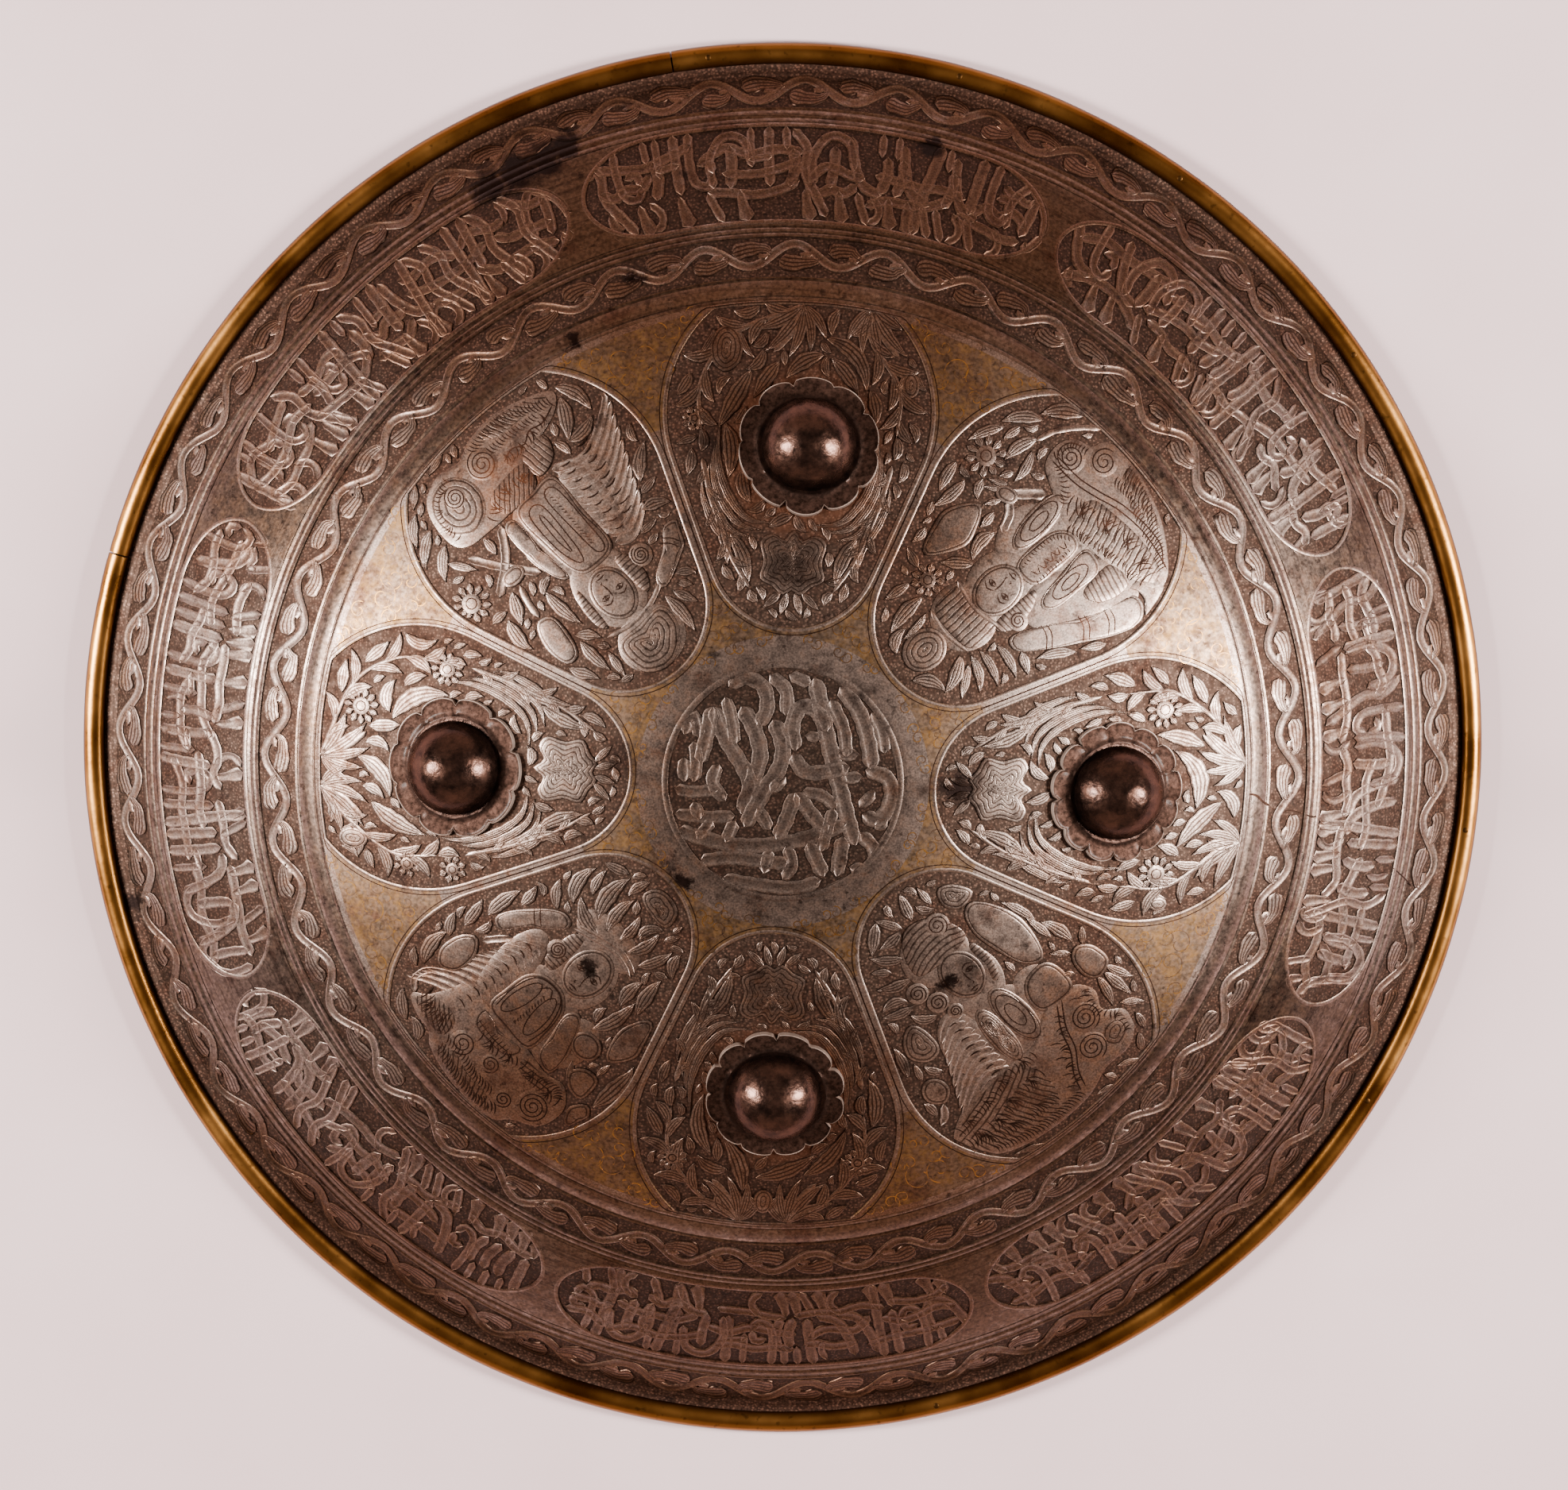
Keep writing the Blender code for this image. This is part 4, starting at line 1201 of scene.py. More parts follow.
# %% The roundel
ROUNDEL = 37.2  # mm, radius of the middle of its ring
ROUNDEL_BARS = (  # each a line through plan points, mm; then its width
    ([(-34, -10), (-24, -11), (-15, -10.5)], 3.2),
    ([(-34, -2), (-28, -3), (-20, -2)], 3.0),
    ([(-33, -15), (-24, -18), (-12, -20), (4, -18.5), (20, -13)], 4.0),
    ([(-26, -25), (-16, -24), (-6, -25), (2, -26)], 3.6),
    ([(-19, -30.5), (-8, -32.5), (4, -33.5), (12, -31)], 3.4),
    ([(-22, 24), (-24, 14), (-26, 6)], 3.8),
    ([(-22, 24), (-18, 14), (-12, 4), (-9, -4)], 4.0),
    ([(-13, 24), (-9, 17), (-7, 9), (-9, 2), (-13, -10)], 4.2),
    ([(-3, 20), (0, 12), (-1, 5), (-6, -3), (-12, -14)], 4.2),
    ([(-17, 30), (-12, 33), (-6, 30), (-5, 23), (-8, 18)], 3.8),
    ([(4, 10), (3, 18), (6, 24), (11, 22), (14, 16)], 4.0),
    ([(3, 9), (7, 3.5), (14, 3.5), (21, 5)], 4.0),
    ([(10, 33), (12, 24), (14, 14), (17, 2), (21, -14), (23, -20)], 4.4),
    ([(18, 30), (24, 22), (27, 12), (28, 4)], 4.2),
    ([(17, 8.5), (24, 9)], 2.8),
    ([(18, 1), (25, 2)], 2.8),
    ([(26, 4), (33, 1), (34, -6), (30, -12), (25, -10)], 4.0),
    ([(4, -3), (1, -12), (-2, -18)], 3.8),
    ([(4, -3), (9, -10), (14, -16)], 3.8),
    ([(-8, -8), (-4, -15)], 3.2),
    ([(-15, -12), (-18, -19)], 3.2),
    ([(-28, -6), (-26, -12)], 3.0),
    ([(8, -19), (13, -30)], 3.8),
    ([(19, -17), (17, -30)], 3.8),
    ([(24, -16), (29, -22), (27, -28), (21, -27)], 3.6),
    ([(28, 22), (31, 16), (32, 9)], 3.2),
    ([(-31, 8), (-31, 0)], 3.2),
    ([(-20, 6), (-22, 0), (-18, -6)], 3.2),
    ([(7, 15), (12, 14)], 2.6),
    ([(29, -15), (33, -12)], 2.6),
    ([(-31, 15), (-28, 21), (-26, 14)], 3.0),
    ([(-28, 0), (-27, 7), (-28, 13)], 3.0),
    ([(-4, 34), (1, 29), (1, 21)], 3.4),
    ([(2, 34), (9, 31)], 3.0),
    ([(-15, 12), (-16, 20), (-18, 27)], 3.0),
    ([(15, 26), (19, 17), (20, 8)], 3.2),
    ([(6, -3), (12, -4), (17, -8)], 3.0),
    ([(-4, -3), (1, 2)], 2.8),
    ([(-27, -18), (-22, -12)], 2.8),
    ([(-4, -21), (-6, -29)], 2.8),
    ([(1, -20), (3, -26), (0, -31)], 2.8),
    ([(16, -8), (12, -22)], 2.8),
    ([(29, -3), (24, -8)], 2.6),
)
ring = ringed(np.arange(0, 360, 4.0), ROUNDEL)
roundel = [(stroke(ring, 2.4, section=ROUNDED, lift=0.06, closed=True), PLAIN)]
for number, (points, width) in enumerate(ROUNDEL_BARS):
    line = through(points, spacing=1.4)
    lift = 0.014 * (number % 6) - 0.06
    roundel.append((stroke(line, width + 1.3, section=GROOVED, lift=lift), EDGED))
piece("crown_roundel", roundel, WORK)

# %% [markdown]
# ## Eight teardrop panels
# Round the crown lie eight teardrops, wide end outward. Each is the hull of a small circle near
# the crown and a large one near the vine, cut off by the plain ring. Because all eight are
# alike, one function gives the bearing of a panel's edge at any radius, and everything else
# follows from it: the steel between two panels, the raised frame, and the limit that keeps the
# drawing inside.

# %% The teardrop
FIRST_PANEL = 2.6  # bearing of the middle of panel 0; the others follow every 45 degrees
SMALL_CENTRE, SMALL_RADIUS = 74.8, 26.3
LARGE_CENTRE, LARGE_RADIUS = 115.8, 42.0
SIDE_OFFSET = 2.31  # mm from a panel's straight side to the line half way to the next panel
PANEL_FOOT = SMALL_CENTRE - SMALL_RADIUS
PANEL_TOP = 149.9


def half_angle(radius, grow=0.0):
    """Half the panel's width as an angle, deg, at this radius; `grow` mm moves its edge out.

    On a circle of radius s about distance c: cos a = (r^2 + c^2 - s^2) / 2rc. On the straight
    sides: a = 22.5 deg - asin(offset / r). The straight side holds between its two contacts.
    """
    radius = np.asarray(radius, float)

    def on_circle(centre, size):
        """Half the angle at which the circle of this size is cut at `radius`."""
        size = size + grow
        cosine = (radius**2 + centre**2 - size**2) / (2 * np.maximum(radius, 1) * centre)
        return np.degrees(np.arccos(np.clip(cosine, -1, 1)))

    side = 22.5 - np.degrees(np.arcsin(np.clip((SIDE_OFFSET - grow) / radius, -1, 1)))
    small, large = on_circle(SMALL_CENTRE, SMALL_RADIUS), on_circle(LARGE_CENTRE, LARGE_RADIUS)
    small_contact = math.sqrt(SMALL_CENTRE**2 - SMALL_RADIUS**2)
    large_contact = math.sqrt(LARGE_CENTRE**2 - LARGE_RADIUS**2)
    return np.where(radius < small_contact, small, np.where(radius > large_contact, large, side))


def teardrop(bearing, grow):
    """A panel's outline: up its right side, back along the ring and down its left side."""
    share = 0.5 - 0.5 * np.cos(np.linspace(0, 1, 120) * math.pi)
    radius = PANEL_FOOT - grow + share * (PANEL_TOP - PANEL_FOOT + grow)
    angle = half_angle(radius, grow)
    arc = np.linspace(1, -1, 24)[1:-1] * angle[-1]
    turn = np.concatenate([angle, arc, -angle[::-1]])
    reach = np.concatenate([radius, np.full(22, PANEL_TOP), radius[::-1]])
    return even(ringed(bearing + turn, reach), closed=True, spacing=1.9)


FRAME_MARGIN = 1.2  # mm


def held_in(line):
    """Panel coordinates drawn in, where they would cross the frame, to FRAME_MARGIN inside."""
    u, v = line[..., 0], line[..., 1]
    radius = np.clip(np.hypot(u, v), PANEL_FOOT + FRAME_MARGIN, PANEL_TOP - 0.4)
    room = np.radians(half_angle(radius)) - FRAME_MARGIN / radius
    angle = np.clip(np.arctan2(u, v), -room, room)
    return np.stack([radius * np.sin(angle), radius * np.cos(angle)], -1)


# %% The steel between the panels
GILT, GILDING = 7, 8
GILT_ZONES = ((47.0, 67.0), (117.0, 148.5))  # radii where traces of gilding survive


def between(bearing):
    """The plain steel from one panel's edge to the next: rows along the radius.

    Next to a panel its edge slopes down to the ground; nearer the crown, where no panel
    reaches, it runs level to its neighbour. The underside follows the dome inside the steel.
    """
    share = 0.5 - 0.5 * np.cos(np.linspace(0, 1, 80) * math.pi)
    radius = np.concatenate(
        [np.linspace(ROUNDEL, PANEL_FOOT - 0.1, 6), PANEL_FOOT + share * (150.45 - PANEL_FOOT)]
    )
    open_angle = np.where(radius > PANEL_FOOT, half_angle(radius), 0.0)
    run = np.minimum(np.degrees(0.3 / radius), open_angle * 0.5)
    half = 22.5 - open_angle
    inset = half - run
    columns = [(-1, 0, ROOT), (-1, 0, GROUND * 0.8), (-1, 1, 0.0)]
    columns += [(at, 1, 0.0) for at in np.linspace(-1, 1, 9)[1:-1]]
    columns += [(1, 1, 0.0), (1, 0, GROUND * 0.8), (1, 0, ROOT)]
    columns += [(at, 0, ROOT) for at in np.linspace(1, -1, 9)[1:-1]]
    side, inner, height = np.array(columns).T
    turn = side * np.where(inner == 1, inset[:, None], half[:, None])
    height = np.broadcast_to(height, turn.shape).copy()
    level = open_angle < 0.05
    height[level, 1] = height[level, 11] = 0.0
    plan = ringed(bearing + turn, radius[:, None])
    uv = np.stack(np.broadcast_arrays(radius[:, None], 0 * side), -1)
    solid = loft(on_dome(plan, height), uv)
    row_radius = (radius[:-1] + radius[1:]) / 2
    gilt = np.zeros(len(row_radius), bool)
    for low, high in GILT_ZONES:
        gilt |= (row_radius > low) & (row_radius < high)
    numbers = np.repeat(np.where(gilt, GILT, PLAIN), len(columns))
    return solid, numbers


GOLD_PLACES = (  # across, outward and size of each pair of scrolls, mm
    (0, 140, 5.0), (-13, 145, 3.0), (13, 145, 3.0), (0, 128, 2.6), (-6, 134, 3.0),
    (7, 134, 3.0), (-21, 146.5, 2.0), (21, 146.5, 2.0), (0, 58, 2.2), (-3, 51, 2.6),
    (4, 50, 2.4), (0, 44.5, 2.2), (-10, 44, 2.0), (10, 44, 2.0),
)


def gold_scrolls(bearing, seed):
    """Thin gilt scrolls in the outer and the inner triangle between two panels."""
    rng = np.random.default_rng(seed)
    solids = []
    for u, v, size in GOLD_PLACES:
        for hand in (-1, 1):
            line = curl((0, 0), size, rng.uniform(0, 360), 1.1 * hand, 0.25, 0.9)
            line = turned_to(line + (u + hand * size * 0.7, v + rng.normal(0, 0.5)), bearing)
            solids.append((stroke(line, 0.42, section=CUT, lift=0.004), GILDING))
    return solids


# %% [markdown]
# ## Traces of gilding
# The plain triangles were once overlaid with gold scrolls. Most of it has rubbed away: what is
# left is a warm yellow haze in the scratches and a few broken curls, so the steel there is
# mixed with gold by a noise that comes in islands.

# %% Gilding
gilt_steel = steel("steel_with_gilding_traces", "#84705f", "#624835", 0.42, grain=1.2)
tree = gilt_steel.node_tree
shader = tree.nodes["Principled BSDF"]
place = add(tree, "TexCoord").outputs["Object"]
islands = add(tree, "TexNoise", {"Vector": place, "Scale": PER_MM / 7, "Detail": 5.0})
crumbs = {"Vector": place, "Scale": PER_MM / 1.6, "Detail": 4.0, "Roughness": 0.7}
crumbs = add(tree, "TexNoise", crumbs)
both = add(tree, "Math", (islands, crumbs), operation="ADD")
share = add(tree, "MapRange", (both, 0.94, 1.22, 0.0, 0.6))
under = shader.inputs["Base Color"].links[0].from_socket
colour = add(tree, "Mix", {0: share, 6: under, 7: "#8c693e"}, **COLOUR)
wire(tree, shader, {"Base Color": colour})

gilding, tree, shader, place = start_material("worn_fire_gilding")
crumbs = add(tree, "TexNoise", {"Vector": place, "Scale": PER_MM / 2.2, "Detail": 4.0})
share = add(tree, "MapRange", (crumbs, 0.42, 0.58))
colour = add(tree, "Mix", {0: share, 6: "#6c5646", 7: "#a97b3f"}, **COLOUR)
wire(tree, shader, {"Base Color": colour, "Metallic": 1.0, "Roughness": 0.36})
WORK += [gilt_steel, gilding]

# %% Frames and spandrels
plates, frames = [], []
for number in range(8):
    at = FIRST_PANEL + 45 * number
    plates.append(between(at + 22.5))
    plates += gold_scrolls(at + 22.5, 300 + number)
    frames.append((stroke(teardrop(at, 0.75), 1.5, lift=0.03, closed=True), PLAIN))
    frames.append((stroke(teardrop(at, 2.25), 0.4, section=CUT, lift=0.006, closed=True), LINE))
piece("panel_spandrels", plates, WORK)
piece("panel_frames", frames, WORK)

# %% [markdown]
# ## A kit for drawing in a panel
# A panel is drawn in its own coordinates: millimetres across it and millimetres outward from
# the crown. It also keeps a map of the ground still bare, in half millimetre cells. When the
# main figures are in, it does what the engraver did: looks for the largest leaf that still fits
# anywhere, then the next, until the field is full and only a thin dark line of ground is left
# round each leaf.


# %% The panel kit
CELL = 0.5  # mm
CORNER = np.array([-50.0, 42.0])  # of the map of bare ground
CELLS = np.array([200, 228])


class Panel:
    """Raised work in one panel: across and outward, in mm, from its bearing."""

    def __init__(self, number):
        """An empty panel, with the cells outside its frame already taken."""
        self.bearing = FIRST_PANEL + 45 * number
        self.rng = np.random.default_rng(500 + number)
        self.solids = []
        u, v = (CORNER[i] + CELL * np.arange(CELLS[i]) for i in (0, 1))
        u, v = np.meshgrid(u, v, indexing="ij")
        radius = np.hypot(u, v)
        inside = np.degrees(np.abs(np.arctan2(u, v))) < half_angle(radius, -1.9)
        self.taken = ~(inside & (radius < PANEL_TOP - 1.0) & (radius > PANEL_FOOT + 1.9))

    def cells(self, places):
        """The cells of the map under these places, as an index into it."""
        at = np.round((places - CORNER) / CELL).astype(int)
        return tuple(np.moveaxis(np.clip(at, 0, CELLS - 1), -1, 0))

    def layer(self):
        """A few thousandths of a millimetre, so that no two tops that cross share a plane."""
        return 0.004 * (len(self.solids) % 5)

    def mark(self, places, reach):
        """Takes the cells within `reach` mm of these places: one number, or one for each."""
        reach = np.broadcast_to(reach, len(places))
        most = math.ceil(reach.max() / CELL)
        steps = np.arange(-most, most + 1) * CELL
        disc = np.stack(np.meshgrid(steps, steps), -1).reshape(-1, 2)
        near = np.hypot(*disc.T) <= reach[:, None] + 0.1
        self.taken[self.cells((places[:, None] + disc)[near])] = True

    def put(self, line, width, kind, closed=False, gap=0.5, **settings):
        """Keeps the line inside the frame, and carries a section along it."""
        line = held_in(np.asarray(line, float))
        settings["lift"] = settings.get("lift", 0.0) + self.layer()
        if kind != LINE:
            t = np.linspace(0, 1, len(line))
            self.mark(line, (width(t) if callable(width) else np.full(len(t), width)) / 2 + gap)
        line = turned_to(line, self.bearing)
        self.solids.append((stroke(line, width, closed=closed, **settings), kind))

    def stem(self, points, width=1.5, edged=False, **settings):
        """A round stem, or an edged band, through these points."""
        section, kind = (GROOVED, EDGED) if edged else (ROUNDED, PLAIN)
        self.put(through(points, spacing=1.5), width, kind, section=section, **settings)

    def leaf(self, start, end, width=3.6, bow=0.0, full=0.45):
        """A pointed leaf from its stalk to its tip, fullest at the share `full` of it."""
        settings = {"section": LEAFY, "taper": 0.8, "lift": 0.03, "gap": 0.2}
        self.put(bowed(start, end, bow, 1.35), leaf_width(width, full), VEINED, **settings)

    def leaves(self, *rows):
        """Leaves given as rows of across, outward, across, outward, width and bow."""
        for row in rows:
            self.leaf(row[:2], row[2:4], row[4], row[5] if len(row) > 5 else 0.0)

    def cut(self, *points, width=0.45, lift=0.03, closed=False):
        """A dark graver line, laid on raised work `lift` mm over the plain surface."""
        line = through(points, closed, 1.3)
        self.put(line, width, LINE, closed, section=CUT, lift=lift, taper=1.2)

    def dashes(self, points, length, slant, sway=0.0, groups=3, pitch=1.25):
        """Short graver cuts set along a path, each leaning `slant` degrees to the left of it.

        The lean sways by `sway` degrees in so many groups, slant + sway * sin(2 pi groups t),
        so that a row opens and closes like a pleated fan.
        """
        line = through(points, spacing=pitch)
        ahead = np.gradient(line, axis=0)
        t = np.linspace(0, 1, len(line))
        angle = np.arctan2(ahead[:, 1], ahead[:, 0])
        angle = angle + np.radians(slant + sway * np.sin(2 * math.pi * groups * t))
        reach = length * self.rng.uniform(0.8, 1.1, len(line))
        end = line + reach[:, None] * np.stack([np.cos(angle), np.sin(angle)], -1)
        for first, last, far in zip(line, end, reach):
            dash = bowed(first, last, 0.12 * far, 1.6)
            self.put(dash, 0.45, LINE, section=CUT, lift=0.1, taper=1.5)

    def pleats(self, u, top, count, pitch, first, last):
        """Long pleats, one below another: each dips away from the body, then sweeps up."""
        share = np.array([(0, 0), (0.34, -0.13), (0.68, 0.0), (1, 0.24)])
        settings = {"section": GROOVED, "taper": 2.6, "gap": 0.2}
        for number, reach in enumerate(np.linspace(first, last, count)):
            line = through(share * reach + (u, top - pitch * number), spacing=1.4)
            lift = 0.012 * (number % 3)
            self.put(line, lambda t: pitch * (1.12 - 0.6 * t**2), EDGED, lift=lift, **settings)

    def mass(self, *ovals):
        """A low body of raised steel under the drawing, as overlapping ovals."""
        for u, v, half_width, half_height, tilt in ovals:
            outline = oval((u, v), half_width, half_height, tilt, 36)
            self.plate(outline, PLAIN, -0.13, smooth=False)

    def plate(self, outline, kind=PLAIN, lift=0.0, phase=None, smooth=True):
        """A flat plate with these corners, or through them; `phase` gives its hatching."""
        outline = np.asarray(outline, float)
        if smooth:
            outline = through(outline, True, 1.5)
        else:
            outline = even(np.concatenate([outline, outline[:1]]), True, 1.5)
        outline = held_in(outline)
        centre = outline.mean(0)
        size = np.hypot(*(outline - centre).T).max()
        shares = np.linspace(0, 1, int(size / 0.6) + 2)[:, None, None]
        self.mark((centre + shares * (outline - centre)).reshape(-1, 2), 0.6)
        turned = None
        if phase is not None:

            def turned(plan, depth):
                """The phase, measured along the panel's own two directions."""
                back = turned_to(plan, -self.bearing)
                return phase(back[..., 0], back[..., 1], depth)

        lift = lift + self.layer()
        self.solids.append((plate(turned_to(outline, self.bearing), lift, turned), kind))

    def volute(self, centre, radius, turns=2.4):
        """A disc with a spiral cut in it."""
        self.plate(oval(centre, radius + 0.8, radius + 0.8, count=20), lift=0.05, smooth=False)
        line = curl(centre, radius, 90, turns, 0.1, 1.1)
        self.put(line, 0.5, LINE, section=CUT, lift=0.09)

    def flower(self, centre, radius, petals=9):
        """Petals round a button with a ring on it."""
        centre = np.array(centre, float)
        for turn in np.arange(petals) * 2 * math.pi / petals + self.rng.uniform(0, 1):
            way = np.array([math.cos(turn), math.sin(turn)])
            self.leaf(centre + way * radius * 0.38, centre + way * radius, 2.6, full=0.62)
        self.plate(oval(centre, radius * 0.5, radius * 0.5, count=14), lift=0.06, smooth=False)
        self.cut(*oval(centre, radius * 0.27, radius * 0.27, count=10), lift=0.1, closed=True)
        self.mark(centre[None], radius + 0.4)

    def fill(self, heading, sizes, tries=2600, spread=0.45, bend=0.16):
        """Sets leaves wherever one still fits, the largest first.

        `heading` gives the way a leaf at (across, outward) points, as an angle from outward.
        A place is free if no cell under seven points of the leaf's bowed middle and both
        its sides is taken.
        """
        share = np.linspace(0.06, 1, 7)
        for length, width in sizes:
            start = self.rng.uniform((-45, 49), (45, 150), (tries, 2))
            angle = heading(start) + self.rng.normal(0, spread, tries)
            bow = self.rng.uniform(-bend, bend, tries) * length
            way = np.stack([np.sin(angle), np.cos(angle)], -1)
            side = np.stack([way[:, 1], -way[:, 0]], -1)
            breadth = (np.sin(math.pi * share) * width + 0.3)[:, None] * np.array([-0.5, 0, 0.5])
            aside = 4 * bow[:, None, None] * (share * (1 - share))[:, None] + breadth
            tests = start[:, None, None] + way[:, None, None] * (share * length)[:, None, None]
            tests = tests + side[:, None, None] * aside[..., None]
            cells = self.cells(tests.reshape(tries, -1, 2))
            for number in np.flatnonzero(~self.taken[cells].any(1)):
                if not self.taken[cells[0][number], cells[1][number]].any():
                    end = start[number] + way[number] * length
                    full_width = width * self.rng.uniform(1.15, 1.35)
                    self.leaf(start[number], end, full_width, bow[number])

# %% [markdown]
# ## The four flower panels
# Top, right, bottom and left, a panel holds a boss in a bed of leaves. Two stalks spring from the
# ring and fan out into long leaves; daisies and tulips sit beside the boss; more long leaves and
# sprays bend round it and run down to a lobed palmette, engraved along its edge, at the foot.

# %% Flower panels
LEFT_DAISIES = ((15, 136, 6.0), (29, 108, 5.5), (-35, 104, 4.6), (-34.5, 119, 4.6))
FLOWERS = (  # the two roots on the ring, daisies and tulips (across, outward, size)
    ((0.0, 22.0), ((-33, 112, 4.0),), ((-24, 134, 8.0), (35, 125, 4.5))),
    ((-9.0, 17.0), ((-26, 121, 6.2), (27, 121, 6.2)), ((37, 122, 3.6),)),
    ((-8.0, 8.0), ((-30, 126, 5.0), (30, 127, 5.0)), ((0, 141, 5.0),)),
    ((-12.0, -2.0), LEFT_DAISIES, ((-28, 137, 5.5),)),
)
LEAF_SIZES = (  # length and width of the leaves that fill a panel, mm
    (21, 5.0), (17, 4.7), (14, 4.3), (11, 3.8), (8.5, 3.2), (6.5, 2.7), (4.8, 2.2), (3.7, 1.8),
)


# angle, length and width of the leaves that spring from a root
FAN = ((-62, 17, 4.6), (-38, 19, 4.6), (-14, 17, 4.2), (10, 15, 3.8), (36, 13, 3.6))


def nested(pitch):
    """Hatching that follows the plate's own outline, a line every `pitch` mm."""
    return lambda u, v, depth: depth / pitch


def tulip(panel, centre, size):
    """A closed bud: nested pointed shells round a seed, opening towards the boss."""
    shell = [(0, 1.15), (0.6, 0.9), (0.95, 0.2), (0.75, -0.6), (0.2, -1.0), (-0.2, -1.0)]
    shell += [(-0.75, -0.6), (-0.95, 0.2), (-0.6, 0.9)]
    shell = np.array(shell) * size * (0.72, 0.85) + centre
    panel.plate(shell, HATCHED, 0.04, nested(1.5))
    for side in (-1, 1):
        ends = centre + np.array([(side * 0.5, 0.8), (side * 1.15, -0.3)]) * size
        panel.leaf(*ends, 2.6, side)


def palmette(panel):
    """The lobed shape at the foot: two horns, a waist and a spray under it."""
    outline = [(-10.5, 75), (-7, 77.5), (-3, 75.8), (0, 79.0), (3, 75.8), (7, 77.5), (10.5, 75)]
    outline += [(9.3, 69), (10.2, 63.5), (6.0, 61), (3, 58.5), (0, 60.0), (-3, 58.5), (-6.0, 61)]
    outline += [(-10.2, 63.5), (-9.3, 69)]
    panel.plate(outline, HATCHED, 0.03, nested(1.7))
    for u in (-5.5, -2.0, 2.0, 5.5):
        panel.leaf((u * 0.6, 59.5), (u * 1.6, 51.5 + abs(u) * 0.5), 2.8)


def bundle(panel, side):
    """Long leaves that bend round the boss from its side to the foot: offset copies of one arc."""
    settings = {"section": LEAFY, "taper": 0.8, "lift": 0.02, "gap": 0.1}
    for number in range(4):
        shift = number * 3.1
        points = [
            (side * (24.8 + shift * 0.35), 112 - number * 6.2),
            (side * (25.0 + shift * 0.5), 100 - number * 2.6),
            (side * (21.5 + shift * 0.75), 89.5 - shift * 0.35),
            (side * (15.0 + shift * 0.9), 82.0 - shift * 0.55),
            (side * (6.5 + shift * 1.1), 80.5 - shift * 0.75),
        ]
        panel.put(through(points, spacing=1.4), leaf_width(3.0, 0.55), VEINED, **settings)


def spray(panel, points, leaves, length, width):
    """A stem with leaves on both sides by turns, each leaning 38 degrees off the stem's way.

    They are longest at the middle of the stem: length * (0.6 + 0.4 sin(pi t)).
    """
    line = through(points, spacing=1.5)
    panel.put(line, lambda t: 1.9 - 0.7 * t, PLAIN, section=ROUNDED)
    ahead = np.gradient(line, axis=0)
    for number, t in enumerate(np.linspace(0.1, 1.0, leaves)):
        place = int(t * (len(line) - 1))
        lean = math.radians(38 if number % 2 else -38) * (1 if t < 1 else 0)
        lean += math.atan2(ahead[place][1], ahead[place][0])
        reach = length * (0.6 + 0.4 * math.sin(math.pi * t))
        tip = line[place] + reach * np.array([math.cos(lean), math.sin(lean)])
        bow = 0.14 * reach * (1 if number % 2 else -1)
        panel.leaf(line[place], tip, width * panel.rng.uniform(0.85, 1.1), bow, 0.5)


def leafing(roots):
    """The way leaves point: away from the nearer root above, down past the boss below."""

    def heading(place):
        """An angle from outward for each place, blended between the two zones by height."""
        u, v = place.T
        side = np.sign(u + 1e-6)
        nearer = np.where(np.abs(u - roots[0]) < np.abs(u - roots[1]), roots[0], roots[1])
        above = np.clip((v - 110) / 14, 0, 1)
        below = np.clip((82 - v) / 10, 0, 1)
        x = above * (u - nearer) / 14 + (1 - above) * side * (0.75 - 1.15 * below)
        y = above * (v - 153) / 14 - (1 - above)
        return np.arctan2(x, y)

    return heading


floral = []
for number, (roots, daisies, tulips) in enumerate(FLOWERS):
    panel = Panel(2 * number)
    _, bearing, distance, _ = BOSSES[number]
    seat = ringed(bearing - panel.bearing, distance)
    panel.mark(seat[None], FLANGE_RADIUS - 1.2)
    for daisy in daisies:
        panel.flower(daisy[:2], daisy[2], 8 if daisy[2] < 5 else 11)
    for bud in tulips:
        tulip(panel, bud[:2], bud[2])
    for root, hand in ((roots[0], -1), (roots[1], 1)):
        panel.stem([(root, 149.5), (root + hand * 3, 141), (root + hand * 9, 134)], 2.2)
        for angle, length, width in FAN:
            way = math.radians(angle * -hand)
            tip = (root + length * math.sin(way), 149.0 - length * math.cos(way))
            panel.leaf((root, 149.0), tip, width, bow=hand * 1.2)
    for side, root in ((-1, roots[0]), (1, roots[1])):
        bundle(panel, side)
        reach = [(root, 149), (side * 22, 139), (side * 31.5, 124), (side * 31.0, 109)]
        spray(panel, reach, 9, 12.0, 4.2)
        reach = [(side * 30.0, 100), (side * 26.0, 86), (side * 20.0, 71), (side * 13.0, 60)]
        spray(panel, reach, 8, 8.0, 3.3)
        panel.leaf((side * 20, 77), (side * 13.5, 62), 5.0, bow=side * 1.2)
        panel.leaf((side * 25, 84), (side * 20.5, 67), 4.2, bow=side * 1.0)
    palmette(panel)
    panel.fill(leafing(roots), LEAF_SIZES, 14000, bend=0.26)
    floral += panel.solids
piece("floral_panels", floral, WORK)

# %% [markdown]
# ## The four figure panels
# Between the flowers sit four winged figures in long robes, their heads toward the crown. Each
# is one broad mass of raised steel, parted only by engraved lines: a robe with volutes at its
# knees, pleats drawn as rows of lines, a body of long ovals, one sleeve stretched out and one
# hand that holds a flower. The faces here are plain and calm, drawn by the usual rule of
# thumb: eyes half way down the head, the nose ending half way from there to the chin.


